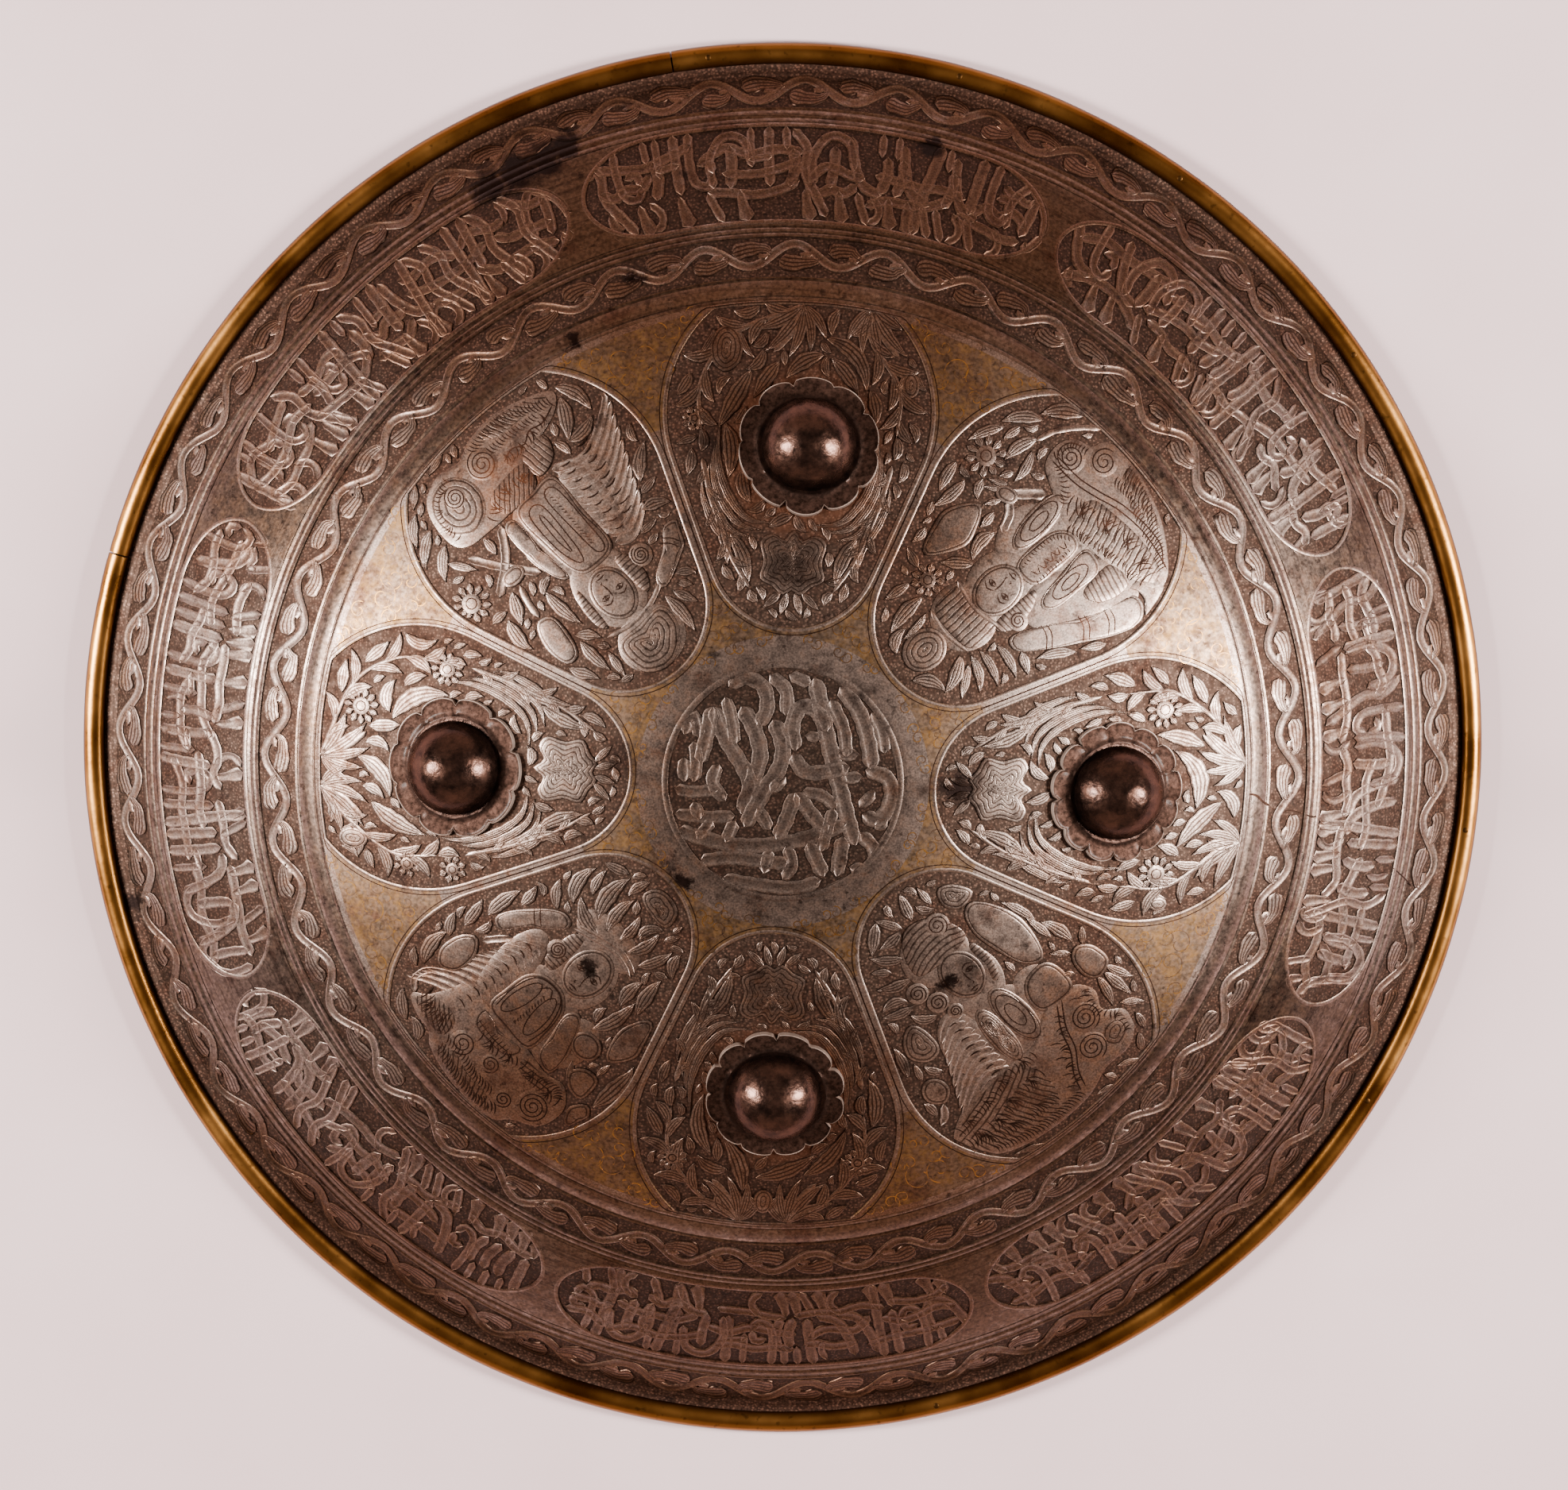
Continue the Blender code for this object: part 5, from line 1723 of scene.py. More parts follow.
# %% Faces and hatching
def face(panel, centre, half_width, half_height):
    """A face whose chin points outward; t runs from -1 at its crown to 1 at its chin."""
    x, y = centre
    panel.plate(oval(centre, half_width, half_height, count=26), CONTOURED, 0.05, smooth=False)

    def line(*points, closed=False):
        """A fine cut through points given as shares of the face's half width and height."""
        points = [(x + across * half_width, y + t * half_height) for across, t in points]
        panel.cut(*points, lift=0.09, closed=closed, width=0.55)

    for side in (-1, 1):
        line((side * 0.18, 0.02), (side * 0.4, -0.06), (side * 0.62, 0.03))
        line((side * 0.2, 0.03), (side * 0.4, 0.1), (side * 0.6, 0.04))
        line((side * 0.34, 0.0), (side * 0.46, 0.0), (side * 0.4, 0.06), closed=True)
        line((side * 0.12, -0.12), (side * 0.4, -0.23), (side * 0.68, -0.1))
        line((side * 0.12, 0.42), (side * 0.17, 0.48), (side * 0.08, 0.52))
    line((-0.1, -0.1), (-0.08, 0.2), (-0.14, 0.44))
    line((-0.24, 0.68), (0, 0.65), (0.24, 0.68))
    line((-0.12, 0.76), (0, 0.78), (0.12, 0.76))


def straight(angle, pitch, bend=0.0, middle=(0.0, 0.0)):
    """Parallel lines `pitch` mm apart, square to this angle, that bend away from the middle."""
    c, s = math.cos(math.radians(angle)), math.sin(math.radians(angle))

    def phase(u, v, depth):
        """How many lines lie before this place, straight across plus a bend by the square."""
        x, y = u - middle[0], v - middle[1]
        return (x * s + y * c + bend * (x * c - y * s) ** 2) / pitch

    return phase


# %% The north east figure
def north_east(panel):
    """Knees with two volutes at the left, a long banded sleeve at the right, a held daisy."""
    panel.mass((4, 109, 17.5, 15, 0), (1.5, 92, 11, 12, 0), (0.5, 77, 11, 11, 0),
               (19, 104, 10, 15, -28), (26, 118, 10, 8, 0))
    panel.plate([(-16.5, 128), (-18.5, 135), (-16, 140.5), (-10.5, 143), (-8.5, 147.3), (-3, 149),
                (8, 148.3), (19, 145.2), (28, 140.5), (36.5, 133.5), (37.5, 127.5), (31, 124.5),
                (20, 121.5), (8, 120), (-2, 120.5), (-9, 124)])
    panel.plate([(1, 131.5), (10, 134), (22, 135), (33, 133.5), (36, 129), (31, 125.5),
                (20, 122.5), (9, 121), (0, 121.5)], HATCHED, 0.03,
                straight(72, 1.9, 0.012, (16, 128)))
    panel.plate([(2, 147.8), (10, 147), (19, 144), (26, 140.5), (17, 140.2), (8, 141), (3, 143.5)],
                HATCHED, 0.03, straight(58, 1.5, -0.03, (12, 144)))
    for rise in (0.0, 2.1):
        panel.cut((-16, 130.5 + rise), (-6, 131 + rise), (2, 133 + rise), (10, 135.6 + rise),
                  (20, 136.8 + rise), (28, 136 + rise), (35 - rise, 134.4), width=0.55)
    panel.volute((-4, 142.5), 4.4)
    panel.volute((-12.5, 135.5), 4.8, turns=3)
    panel.dashes([(3, 148), (10, 147), (18, 144.3), (28, 139.6), (34, 135)], 4.6, -58)
    panel.dashes([(2.5, 142.8), (10, 142.6), (18, 140.4), (26, 137.6)], 3.6, -60)
    panel.dashes([(-3, 128.4), (5, 130.8), (14, 133.2), (24, 133.9), (33, 131.2)], 6.4, -80, 32, 4)
    panel.dashes([(3, 121.6), (12, 124), (22, 126), (32, 127.2)], 3.4, -84, 20, 3)
    panel.dashes([(-14, 129.5), (-9, 127.5), (-5, 123.5)], 3.4, 84, 10, 1)
    panel.dashes([(-17.5, 133), (-15.5, 139.5), (-10.5, 142)], 2.6, -100)
    panel.plate(oval((-5, 114.5), 4.4, 12, 3), CONTOURED)
    panel.plate([(0.5, 99), (-1, 107), (0.5, 116), (5, 120), (10, 118), (10.3, 108), (8.5, 99.5)],
                CONTOURED, 0.02)
    panel.plate([(11.3, 119), (11.8, 108), (13, 99), (15.8, 96.5), (18.8, 100), (20, 109),
                (20, 118), (15.5, 120.5)], CONTOURED, 0.01)
    for v in np.arange(102, 116, 2.9):
        panel.cut((4.6, v), (7.4, v + 1.3), (5.0, v + 2.6))
    for size in (0.35, 0.68):
        panel.cut(*oval((-5, 114.5), 4.4 * size, 12 * size, 3, 10), lift=0.06, closed=True)
        panel.cut(*oval((15.8, 109), 4.0 * size, 11 * size, 0, 10), lift=0.06, closed=True)
    panel.dashes([(1.3, 101), (0.3, 108), (1.6, 115), (5, 118.5)], 1.6, -80)
    panel.dashes([(9.2, 101), (9.5, 108), (9.0, 115)], 1.6, 80)
    panel.plate([(20.5, 122), (28.5, 123.5), (30, 118), (27, 111), (21, 109.5)], HATCHED, 0.02,
                straight(15, 1.7))
    panel.plate([(30.5, 121.5), (30.5, 127), (34.5, 130.8), (38.5, 129.8), (41, 125),
                (40.8, 119.5), (37, 122.5), (33, 122.8)])
    panel.plate([(33, 120.8), (37.5, 121.5), (41, 117), (38.8, 109), (32, 97.5), (25, 87.5),
                (19.5, 81.5), (15.2, 83), (18.5, 91), (25.5, 102), (30.5, 112)], CONTOURED, 0.02)
    for u, v in ((34.4, 110.5), (33.4, 108.8), (30.2, 103.2), (29.2, 101.5), (24, 92.5), (23, 91)):
        panel.cut((u - 3.6, v + 1.9), (u, v + 0.9), (u + 3.4, v - 2.4))
    panel.plate([(9.5, 99), (13.5, 95), (14.5, 87), (12, 82), (8.5, 83)], HATCHED, 0.0,
                straight(0, 1.5))
    panel.volute((13.2, 88.5), 2.6)
    face(panel, (1.8, 90.3), 7.4, 9.3)
    panel.plate([(-7.5, 82.5), (-8.8, 77), (-7.5, 71.3), (0, 70), (9, 71.3), (10.3, 77),
                (9.5, 82.5), (1, 80.8)], HATCHED, 0.02, straight(90, 1.9))
    panel.stem([(-9, 82.8), (0, 81), (10.5, 82.8)], 1.7, lift=0.08)
    panel.stem([(-8.2, 70.5), (0, 69), (9.5, 70.5)], 1.5, lift=0.08)
    panel.plate(oval((-0.5, 60.8), 6.6, 7.6), HATCHED, 0.03, nested(1.8))
    # the hand with its flower, and the long lozenge below it
    panel.stem([(-12, 149.4), (-17, 144.5), (-22, 137.5), (-24, 131)], 1.9)
    panel.flower((-31.5, 116), 6.8, 10)
    panel.stem([(-9.5, 122), (-14, 117.5), (-18, 113)], 3.8, edged=True)
    panel.stem([(-10.5, 103.5), (-13, 109), (-16.5, 112)], 3.2, edged=True)
    panel.plate(oval((-18.2, 112.6), 4.0, 2.9, 20), CONTOURED, 0.06)
    panel.leaves((-20, 115, -26, 111.5, 2.2), (-20, 113, -25.5, 108.5, 2.2),
                 (-18, 110.5, -21, 105, 2.2), (-24, 131.5, -26.5, 119.5, 4.8, 1.2),
                 (-22.5, 128, -19.5, 117, 3.6, -1), (-27, 137, -36, 127, 4.8, 1.5),
                 (-34, 126.5, -39, 115, 3.8, 0.8), (-36.5, 108, -33.5, 97.5, 4.2, 0.6),
                 (-30.5, 106, -31.5, 93, 4.4, -0.8))
    panel.plate([(-22, 104.5), (-17, 98.5), (-15.6, 91), (-22.5, 80.5), (-27, 88.5), (-28, 96)],
                CONTOURED, 0.02)
    panel.flower((-15.8, 76.2), 5.4, 9)
    panel.leaves((-20.5, 76.5, -27.8, 78.5, 3.4), (-13, 71.5, -11.5, 56.5, 5.2, 1),
                 (-19, 71.5, -20.5, 62, 3.6), (-8.5, 69, -7.5, 57.5, 2.6, -0.6),
                 (11, 70.5, 21.5, 64.5, 3.4, -1), (11.5, 73.5, 24, 70, 3.2, -1),
                 (8.5, 68, 14, 56.5, 4.8, -1), (12.5, 68, 19, 59, 3.2),
                 (14, 78.5, 26, 76, 3.4, -1), (21, 83, 28, 79.5, 3.6),
                 (33.5, 95.5, 26, 84.5, 4.0, 0.8), (38.5, 104.5, 33.5, 97, 3.4))


# %% The south east figure
def south_east(panel):
    """Knees with two volutes at the left, a pleated wing at the right, a held bud."""
    panel.mass((2, 108, 15, 14, 0), (0, 88, 11, 13, 0), (2, 74, 11.5, 11, 0),
               (15, 104, 8, 13, -10), (-14, 106, 8, 9, 0))
    panel.plate([(-27.5, 139), (-22, 142.5), (-12, 142.5), (-2, 146), (12, 146.3), (25, 144),
                (34, 139.5), (39, 133), (40.5, 126.5), (33, 121), (23, 118.5), (11, 118.5),
                (0, 119), (-9, 113.5), (-17, 111.5), (-24, 113.5), (-27, 119.5), (-24.5, 126),
                (-29.5, 131), (-29, 136)])
    panel.plate([(7, 141.5), (20, 141), (33, 138.5), (38.5, 132), (29, 131), (18, 128), (9, 125.5),
                (3, 131)], HATCHED, 0.03, straight(66, 1.8, 0.01, (20, 134)))
    panel.plate([(4, 127), (14, 126.8), (26, 130), (38.5, 129.5), (38, 125.5), (30, 121.5),
                (20, 119.5), (8, 119.8)], HATCHED, 0.05, straight(-22, 1.9, 0.008, (20, 124)))
    panel.plate([(-26, 137.5), (-20, 139.5), (-17, 135), (-21, 130.5), (-26.5, 132)], HATCHED,
                0.03, nested(1.6))
    panel.volute((-13.5, 133.5), 5.0, turns=3)
    panel.volute((-18.5, 124), 5.0, turns=3)
    for shift in (0.0, 2.0):
        panel.cut((-3 + shift, 142.5), (-5 + shift, 136.5), (-9.5 + shift, 129.5),
                  (-12 + shift, 122), (-17 + shift, 114), width=0.55)
    panel.dashes([(-1, 145), (10, 145.4), (22, 143.6), (32, 139.8)], 4.4, -62)
    panel.dashes([(6, 140), (18, 139.4), (29, 137.5), (36, 133.5)], 5.2, -66, 16, 3)
    panel.dashes([(4, 130.5), (14, 131.5), (25, 134), (37, 133)], 5.6, -82, 30, 4)
    panel.dashes([(2, 124), (12, 123.5), (24, 126), (36, 127.5)], 4.2, -84, 26, 4)
    panel.dashes([(-27, 138), (-28, 131), (-24, 125), (-26, 118)], 3.2, 84, 24, 3)
    panel.dashes([(-4, 140), (-6, 133), (-10, 126), (-14, 119)], 3.4, 82, 26, 4)
    for u, v in ((-23, 118), (-20.5, 116.8), (-2, 135), (0, 139), (-4, 129), (-6, 124)):
        panel.cut((u - 1.5, v + 1.8), (u, v), (u + 2, v - 0.8))
    panel.pleats(9.6, 120, 9, 3.1, 25, 11)
    panel.plate(oval((-3.2, 107), 5.2, 12.2, 2), CONTOURED, 0.03)
    panel.plate(oval((5.2, 109), 4.0, 12, -2), HATCHED, 0.05, nested(1.7))
    for size in (0.4, 0.72):
        panel.cut(*oval((-3.2, 107), 5.2 * size, 12.2 * size, 2, 10), lift=0.07, closed=True)
    panel.dashes([(13, 118), (13, 108), (12, 96)], 3.4, 80, 6, 2, 3.1)
    panel.plate([(-22, 114), (-10.5, 113), (-9, 106), (-13, 100.5), (-21, 100), (-24, 106)],
                CONTOURED, 0.02)
    # the hand with its bud
    panel.plate([(-37, 115), (-31, 117.5), (-27.5, 113.5), (-28, 106.5), (-32, 103.5),
                (-36.5, 107.5)], CONTOURED, 0.02)
    panel.leaves((-35, 115.5, -39, 125, 3.6, 0.5), (-33, 117, -34.5, 129, 4.2),
                 (-30.5, 116.5, -27.5, 128, 3.6, -0.6), (-34, 105, -39, 99, 2.8),
                 (-29.5, 104.5, -24.5, 99.5, 2.6), (-26, 110.5, -22.5, 107.5, 2.4),
                 (-32.5, 101.5, -29.5, 89.5, 4.8, 0.8), (-28.5, 96, -27, 85, 3.2),
                 (-28.5, 88, -24.5, 75.5, 3.4, 0.6))
    panel.plate([(-22, 99.5), (-16.5, 96.5), (-13.2, 88), (-11.5, 78), (-13.5, 70.5), (-18, 69),
                (-23, 75.5), (-25.8, 84), (-25, 93)], CONTOURED, 0.02)
    panel.plate([(-20.5, 67), (-14, 68.5), (-10.3, 64), (-12.5, 58.5), (-17.5, 60.5)], HATCHED,
                0.02, nested(1.6))
    # the bud behind the shoulder
    panel.plate([(28.8, 111.5), (33, 114.3), (37.2, 110.5), (36.2, 105.5), (32, 103.8),
                (28.8, 106.8)], CONTOURED, 0.03)
    panel.stem([(34, 114), (36.5, 117.5), (39.5, 119)], 2.8, edged=True)
    panel.plate([(22, 99), (27.5, 99.8), (31.5, 94.5), (29, 88.5), (23.5, 86), (21, 91.5)],
                HATCHED, 0.02, nested(1.7))
    face(panel, (0.2, 84.8), 7.2, 9.0)
    panel.plate([(-8, 94), (-10.5, 87), (-9.2, 79), (-7, 80.5), (-7.5, 88), (-5.5, 93.5)], HATCHED,
                0.0, straight(0, 1.5))
    panel.volute((12, 86.5), 2.9)
    panel.volute((14.8, 79.8), 2.9)
    panel.volute((9.8, 92.5), 2.0)
    panel.plate([(-9.5, 76), (-4, 77.5), (4, 77.5), (11, 75.5), (9.5, 67), (4, 61.5), (-3, 62.5),
                (-8.5, 69)], HATCHED, 0.03, straight(0, 1.9, -0.025))
    panel.volute((-4.8, 67.2), 3.4)
    panel.leaves((10, 68, 18, 60.5, 4.0, -1), (13, 74.5, 23.5, 70, 4.2, -1),
                 (18.5, 82, 28.5, 78, 3.8, -1), (0, 60.5, -3, 51.5, 4.0),
                 (4, 60.5, 8.5, 52.5, 3.6), (-8, 61, -8.5, 53.5, 2.8), (33.5, 103, 31.5, 97, 2.8),
                 (36, 99, 32.5, 88, 3.8, 0.6), (-22, 148.5, -15, 144.5, 2.6),
                 (-30, 128.5, -36, 134, 3.0), (-10, 148.8, -4, 147.5, 2.0),
                 (20, 148, 29, 144.2, 2.2))


# %% The south west figure
def south_west(panel):
    """A robe over both knees, a pleated wing, and a hand with leaves and a hanging bud."""
    panel.mass((-1, 109, 15, 14, 0), (-3, 90, 11.5, 13, 0), (-1, 76, 13, 7, 0),
               (-17, 110, 8, 12, -14), (13, 106, 7, 17, 6))
    panel.plate([(-34, 129), (-32.5, 137), (-25, 142.5), (-20.5, 147.5), (-8, 149), (3, 147.8),
                (11, 145.3), (15, 142), (22, 141), (27.8, 137.5), (24, 133.5), (21, 127),
                (18, 120.5), (8, 120.5), (-3, 120.5), (-12, 121), (-20, 122), (-27, 120.5),
                (-32, 124)])
    panel.plate([(-18.5, 147), (-8, 148), (2.5, 146.8), (10.5, 144), (5, 139.8), (-4, 142),
                (-14, 142.3)], HATCHED, 0.03, straight(62, 1.7, -0.02, (-5, 145)))
    panel.plate([(11, 140.2), (20, 139.8), (26.5, 137.3), (21.5, 131.5), (13, 131), (9.5, 135)],
                HATCHED, 0.03, straight(38, 1.5, 0.02, (18, 136)))
    panel.pleats(9.4, 129, 11, 3.2, 24, 9)
    panel.volute((-26, 133.5), 5.4, turns=3.2)
    panel.dashes([(-20, 145.5), (-12, 147.8), (-2, 147.2), (8, 144.8)], 4.2, -62)
    panel.dashes([(-14, 142), (-6, 142.5), (2, 140.5), (8, 140.5)], 3.6, -62)
    panel.dashes([(-30, 128.5), (-22, 129), (-12, 128.2), (-8, 130.5), (2, 132)], 4.6, -84, 34, 4)
    panel.dashes([(10.5, 139), (18, 139.2), (25, 137)], 6.0, -74, 14, 2)
    panel.dashes([(13, 127), (12.6, 112), (12.6, 97)], 3.6, 80, 6, 2, 3.2)
    panel.dashes([(14, 131), (17, 134), (21, 134.5)], 5.0, 60)
    panel.dashes([(-31, 124), (-27, 121.8), (-21, 123.2)], 3.4, 70, 16, 1)
    panel.volute((4.5, 136), 4.2)
    panel.volute((-18, 139.3), 3.0)
    panel.volute((-6.5, 134), 3.2)
    panel.plate([(-25, 127.5), (-15, 128.5), (-11, 124.5), (-16, 123), (-24, 123.5)], HATCHED,
                0.03, straight(-10, 1.6))
    panel.plate([(-10, 122), (-9, 127.5), (-3, 129.5), (5.5, 129), (8.8, 126), (8.4, 121.5),
                (0, 123.3)], CONTOURED, 0.05)
    for u in np.arange(-6.5, 6.6, 1.6):
        panel.cut((u, 125), (u + 0.1, 126.6), (u + 0.2, 128.2), lift=0.09, width=0.36)
    panel.cut((-7, 126.6), (-1, 127), (7, 126.2), lift=0.09, width=0.36)
    panel.plate([(-10.5, 121), (-11.3, 112), (-9.5, 103.5), (-5, 98.8), (0, 98), (5, 99.3),
                (8.5, 104), (9.2, 112), (8.5, 120.3), (0, 121.8)], CONTOURED, 0.03)
    panel.cut(*oval((-5, 110), 2.6, 8.2, 8), lift=0.07, closed=True)
    panel.cut(*oval((3.6, 110), 2.6, 8.2, -8), lift=0.07, closed=True)
    panel.cut((-3.5, 104), (-0.6, 100.5), (2.4, 104), lift=0.07)
    panel.cut((-8.8, 119), (-9.2, 110), (-6, 101.5), (-0.6, 99.5), (5.4, 101.8), (7.6, 110),
              (7, 118.5), lift=0.07)
    panel.dashes([(-0.7, 104), (-0.6, 110), (-0.6, 117)], 1.6, 60)
    panel.plate([(-21, 121.5), (-14.5, 120), (-11.8, 112), (-9.8, 103), (-13, 99.5), (-17.5, 105),
                (-21, 113)], CONTOURED, 0.01)
    # the hand, its two leaves and the hanging bud
    panel.plate([(-37.5, 130), (-33.5, 124.5), (-37.5, 119), (-42, 124.5)], CONTOURED, 0.0)
    panel.plate([(-34.5, 119.5), (-28.5, 120), (-24.5, 115.5), (-28, 110.5), (-33.5, 111)],
                CONTOURED, 0.02)
    panel.leaves((-38.8, 118.5, -38, 98.5, 6.6, 0.4), (-27.5, 119, -22.5, 112, 2.6),
                 (-19, 100, -21.5, 83.5, 5.4, 1.4), (-31.5, 110, -31.8, 104, 2.4),
                 (-26.5, 101, -24.8, 97, 2.0))
    panel.plate(oval((-22, 105.5), 5.4, 5.0), CONTOURED, 0.03)
    panel.plate([(-30.2, 104), (-26, 98), (-25.2, 91), (-29.2, 83.5), (-34, 89), (-35.2, 97)],
                CONTOURED, 0.02)
    # the sleeve, and the pear behind the shoulder
    panel.plate([(24.5, 100), (28.4, 98.5), (27, 93), (20.5, 84), (14.5, 79.8), (10.3, 81.8),
                (13.8, 87), (19.5, 93)], CONTOURED, 0.04)
    for u, v in ((19, 86.5), (20.2, 88)):
        panel.cut((u - 2.4, v + 2.3), (u, v + 0.6), (u + 2.2, v - 1.6), lift=0.07)
    panel.plate([(23.5, 121), (28.5, 124), (32.5, 119.5), (32, 112), (28, 107.3), (24.2, 110),
                (22.5, 115)], CONTOURED, 0.02)
    panel.stem([(25.5, 107), (23, 103), (19.5, 98.5)], 2.8, edged=True)
    panel.stem([(24, 123), (29.5, 127.5), (30.5, 133), (27, 136.5)], 2.6, edged=True)
    face(panel, (-4.6, 88.3), 7.6, 9.6)
    panel.plate([(3.5, 96), (8.5, 95), (8.8, 84), (5.5, 80.5), (3.5, 84)], HATCHED, 0.0,
                straight(0, 1.5))
    panel.volute((7.6, 90), 2.9, turns=3)
    for fall in (0.0, 1.9):
        panel.stem([(-14, 78.5 - fall), (-5, 76.8 - fall), (9.5, 81.2 - fall)], 1.3, lift=0.05)
    panel.leaves((2.5, 77, 15.5, 72.5, 5.0, -1.6), (6.5, 73.5, 9.5, 56.5, 6.4, -2.2),
                 (1.5, 74, 3.5, 60, 4.8, -1.5), (-3, 73, -1.5, 62.5, 4.0, 1),
                 (-7.5, 74, -9.8, 62, 4.6, 1.5), (-13, 74.5, -17, 63, 4.2, 1),
                 (13.5, 69.5, 16.5, 60.5, 3.4, -0.8), (17.5, 81, 24, 73.5, 4.0, -1),
                 (-12.5, 62.5, -15, 57.5, 2.8))
    panel.plate([(-10, 59), (-3, 60), (3, 57.5), (1.5, 52.3), (-4, 51), (-9, 53)], HATCHED, 0.02,
                nested(1.7))


# %% The north west figure
def north_west(panel):
    """A round knee at the left, a wing of long feathers, crossed leaves and a daisy."""
    panel.mass((0, 106, 13, 16, 0), (0.5, 82, 11, 14, 0), (0, 61, 11.5, 10, 0),
               (15, 106, 6, 15, 0))
    panel.plate([(-28.5, 124.5), (-29, 133), (-26, 140.5), (-18, 144.3), (-9.5, 143), (-3, 145.8),
                (8, 146.8), (19, 144), (28, 139.5), (24.5, 134.3), (14, 130.8), (7, 128.5),
                (1, 121.5), (-8, 119.8), (-17, 120), (-24.5, 120.8)])
    panel.plate([(-1, 145), (8, 145.8), (18, 143.5), (27, 139.3), (17, 139.3), (6, 140), (1, 142)],
                HATCHED, 0.03, straight(55, 1.5, -0.02, (12, 142)))
    panel.plate(oval((-19, 132.5), 9.4, 10.2), HATCHED, 0.05, nested(2.1))
    panel.volute((-18, 135.2), 3.6, turns=3)
    panel.dashes([(-5, 144.4), (4, 145.6), (14, 143.8), (25, 139.4)], 4.2, -62)
    panel.dashes([(0, 140.5), (8, 139.8), (18, 138.5)], 3.4, -64)
    panel.dashes([(-27, 125), (-27.6, 132), (-24, 139), (-17, 142.5)], 3.0, -88, 20, 3)
    panel.dashes([(-14, 124), (-6, 127.5), (3, 127), (6, 124)], 4.4, -84, 30, 3)
    panel.dashes([(2, 131.8), (10, 131), (20, 133.2)], 3.6, 82, 24, 3)
    panel.volute((-4.3, 137.3), 5.0, turns=3)
    panel.cut((1.5, 133), (6, 134.5), (10, 132.8), (14, 135), (19, 134), (25, 136), width=0.6)
    panel.plate([(-10.5, 127.5), (-2, 129.5), (6.5, 129), (5, 121), (-2, 119.5), (-10, 120.5)],
                HATCHED, 0.04, straight(-50, 1.6))
    panel.plate([(6.5, 130.8), (16.5, 131.5), (15, 124), (7, 122)], HATCHED, 0.05,
                straight(80, 1.7))
    # the wing: long feathers, one over the other
    panel.pleats(11.4, 121, 10, 3.35, 30, 15)
    panel.dashes([(14, 120), (14, 108), (14, 94)], 4.0, 78, 6, 2, 3.35)
    panel.dashes([(22, 121), (21, 108), (19, 96)], 4.4, 100, 6, 2, 3.35)
    panel.plate([(-6.4, 118.5), (2, 120.2), (10.4, 119.5), (10.9, 105), (10.4, 91), (2, 88.8),
                (-4, 91.5), (-6.6, 104)], CONTOURED, 0.04)
    panel.cut((-3.6, 115), (-3.9, 102), (-1.6, 94), (0.6, 94), (1.6, 102), (1.4, 115), lift=0.1,
              closed=True)
    panel.cut((4.0, 116), (4.2, 102), (5.2, 92.5), (8.4, 92.5), (8.8, 102), (8.4, 116), lift=0.1,
              closed=True)
    panel.cut((-1.6, 112), (-2, 103), (-0.8, 97.5), (-0.2, 104), (-0.4, 112), lift=0.1,
              closed=True)
    panel.dashes([(6.3, 95), (6.4, 104), (6.2, 114)], 1.5, 55)
    panel.plate([(-12.5, 117), (-8, 117.5), (-7.4, 104), (-6.5, 92.5), (-10.2, 95), (-12.8, 106)],
                CONTOURED, 0.02)
    # crossed leaves and the hand before them
    panel.stem([(-27.5, 118.5), (-21.5, 110), (-12.5, 99.5)], 3.2, edged=True)
    panel.stem([(-12.5, 119), (-18.5, 110), (-28, 102.5)], 3.2, edged=True, lift=0.03)
    panel.plate(oval((-20, 104.5), 4.4, 3.0), CONTOURED, 0.08)
    panel.flower((-36, 107), 6.6, 11)
    panel.plate([(-23.5, 89), (-19, 87), (-18.6, 79), (-21, 72.5), (-25.5, 72.5), (-27.5, 79),
                (-26.5, 85)], CONTOURED, 0.02)
    panel.stem([(-20.5, 101), (-22, 95), (-22.5, 89.5)], 2.2)
    panel.leaves((-30.5, 95.5, -31.5, 83, 5.2, 0.8), (-15.5, 94, -13.5, 79, 4.6, 0.8),
                 (-11.2, 97, -17, 93.5, 3.4, 1), (-27.5, 71, -21, 62.5, 4.2, -0.8),
                 (-17.5, 75.5, -16.5, 62, 4.4, 0.6), (-13, 67, -14.5, 57.5, 3.0),
                 (-30, 126.5, -38, 117.5, 4.2, 1), (-30.5, 133, -40.5, 124.5, 4.2, 1.2),
                 (-31, 140, -38.5, 131.5, 3.8, 1), (-33.5, 121.5, -27.5, 113.5, 3.2),
                 (-25, 147, -31, 141.5, 3.0), (-12, 148.5, -20, 146.3, 2.6))
    face(panel, (0.4, 79.5), 7.2, 9.2)
    panel.plate([(7.5, 87), (11.5, 86), (12.5, 77.5), (9.5, 72.5), (7.6, 75)], HATCHED, 0.0,
                straight(0, 1.5))
    panel.plate([(-7.5, 88), (-10.5, 83), (-10.5, 75), (-7.8, 72.5), (-7.2, 80)], HATCHED, 0.0,
                straight(0, 1.5))
    panel.volute((14.8, 82.5), 3.1, turns=3)
    panel.plate([(21.5, 79.5), (26.5, 84.5), (31.5, 82.5), (29.5, 77.5), (21.5, 72.5),
                (13.5, 69.8), (13.5, 74)], CONTOURED, 0.02)
    for u, v in ((24, 79), (25.4, 80)):
        panel.cut((u - 2.6, v + 2.2), (u, v), (u + 1.6, v - 3), lift=0.06)
    panel.stem([(-10.5, 70.5), (-2, 68.5), (7, 69.3), (13.5, 72)], 1.6, lift=0.05)
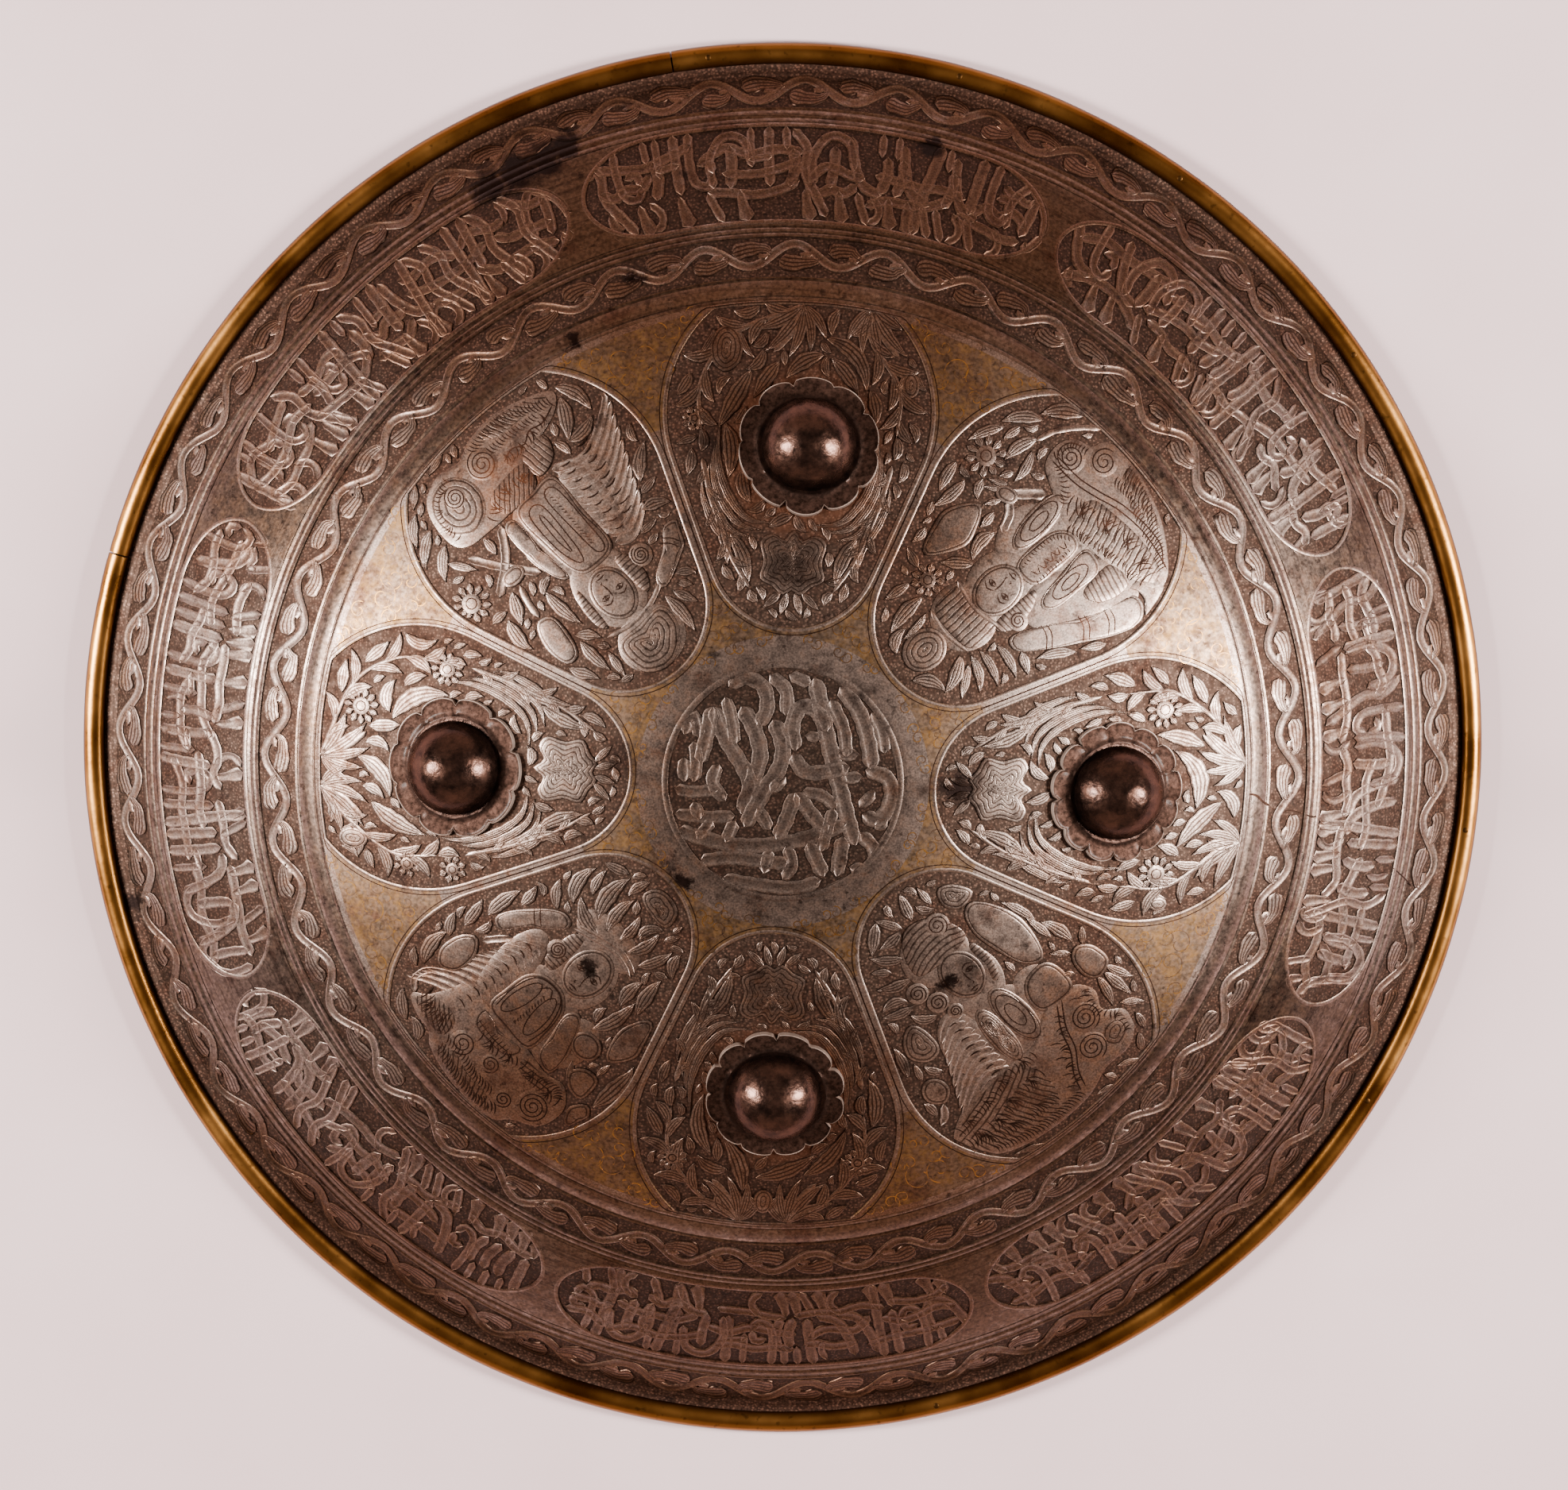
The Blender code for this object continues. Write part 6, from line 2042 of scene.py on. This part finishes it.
    panel.plate([(-9, 66.5), (0, 66.8), (9, 66.5), (9.5, 59), (4, 52.5), (-2.5, 51), (-8.5, 54),
                (-10.5, 60)], HATCHED, 0.03, nested(1.9))
    panel.leaves((12, 68, 11.5, 53.5, 4.4, -0.8), (15, 67.5, 18.5, 59.5, 3.4),
                 (19, 71, 24.5, 66, 3.2, -0.8), (30, 99.5, 39.5, 108, 5.0, -1),
                 (27.5, 96.5, 34.5, 97.5, 3.2), (24.5, 92.5, 33, 88.5, 4.6, -1),
                 (19, 87.5, 26, 87.5, 2.8), (34.5, 105.5, 30, 99.5, 2.8))


# %% Setting the figures in their panels
def crownward(place):
    """The way leaves point here: toward the crown, and away from the panel's middle line."""
    return np.arctan2(place[:, 0], 60 - place[:, 1])


figures = []
for number, draw in ((1, north_east), (3, south_east), (5, south_west), (7, north_west)):
    panel = Panel(number)
    draw(panel)
    panel.fill(crownward, LEAF_SIZES[2:], 12000, spread=0.6, bend=0.24)
    figures.append(panel.solids)
piece("figure_panels_east", figures[0] + figures[1], WORK)
piece("figure_panels_west", figures[2] + figures[3], WORK)

# %% [markdown]
# ## Scars
# A blow once bruised the right side: a short split runs over the plain ring beside the boss and
# goes on as a hair crack towards the brass. Cuts are drawn as thin dark strokes, like the
# graver's, on whatever surface they cross.

# %% Scars
SCARS = (  # plan points, width in mm, how far over the plain surface
    ([(150.6, -8.2), (153.2, -8.9), (155.4, -11.0), (157.9, -12.6)], 0.9, 0.02),
    ([(158.2, -12.9), (161.5, -15.4), (165.0, -14.6), (169.8, -16.2)], 0.5, GROUND),
    ([(170.8, -16.5), (172.8, -17.4), (175.0, -17.2)], 0.6, 0.02),
    ([(175.4, -17.3), (181.0, -21.8), (188.0, -24.2), (193.5, -28.6)], 0.45, GROUND),
    ([(203.0, -37.5), (206.8, -41.0), (210.5, -44.8)], 0.5, 0.02),
)
scars = [
    (stroke(through(points, spacing=0.8), width, taper=1.5, section=CUT, lift=height), LINE)
    for points, width, height in SCARS
]
piece("scars", scars, WORK)
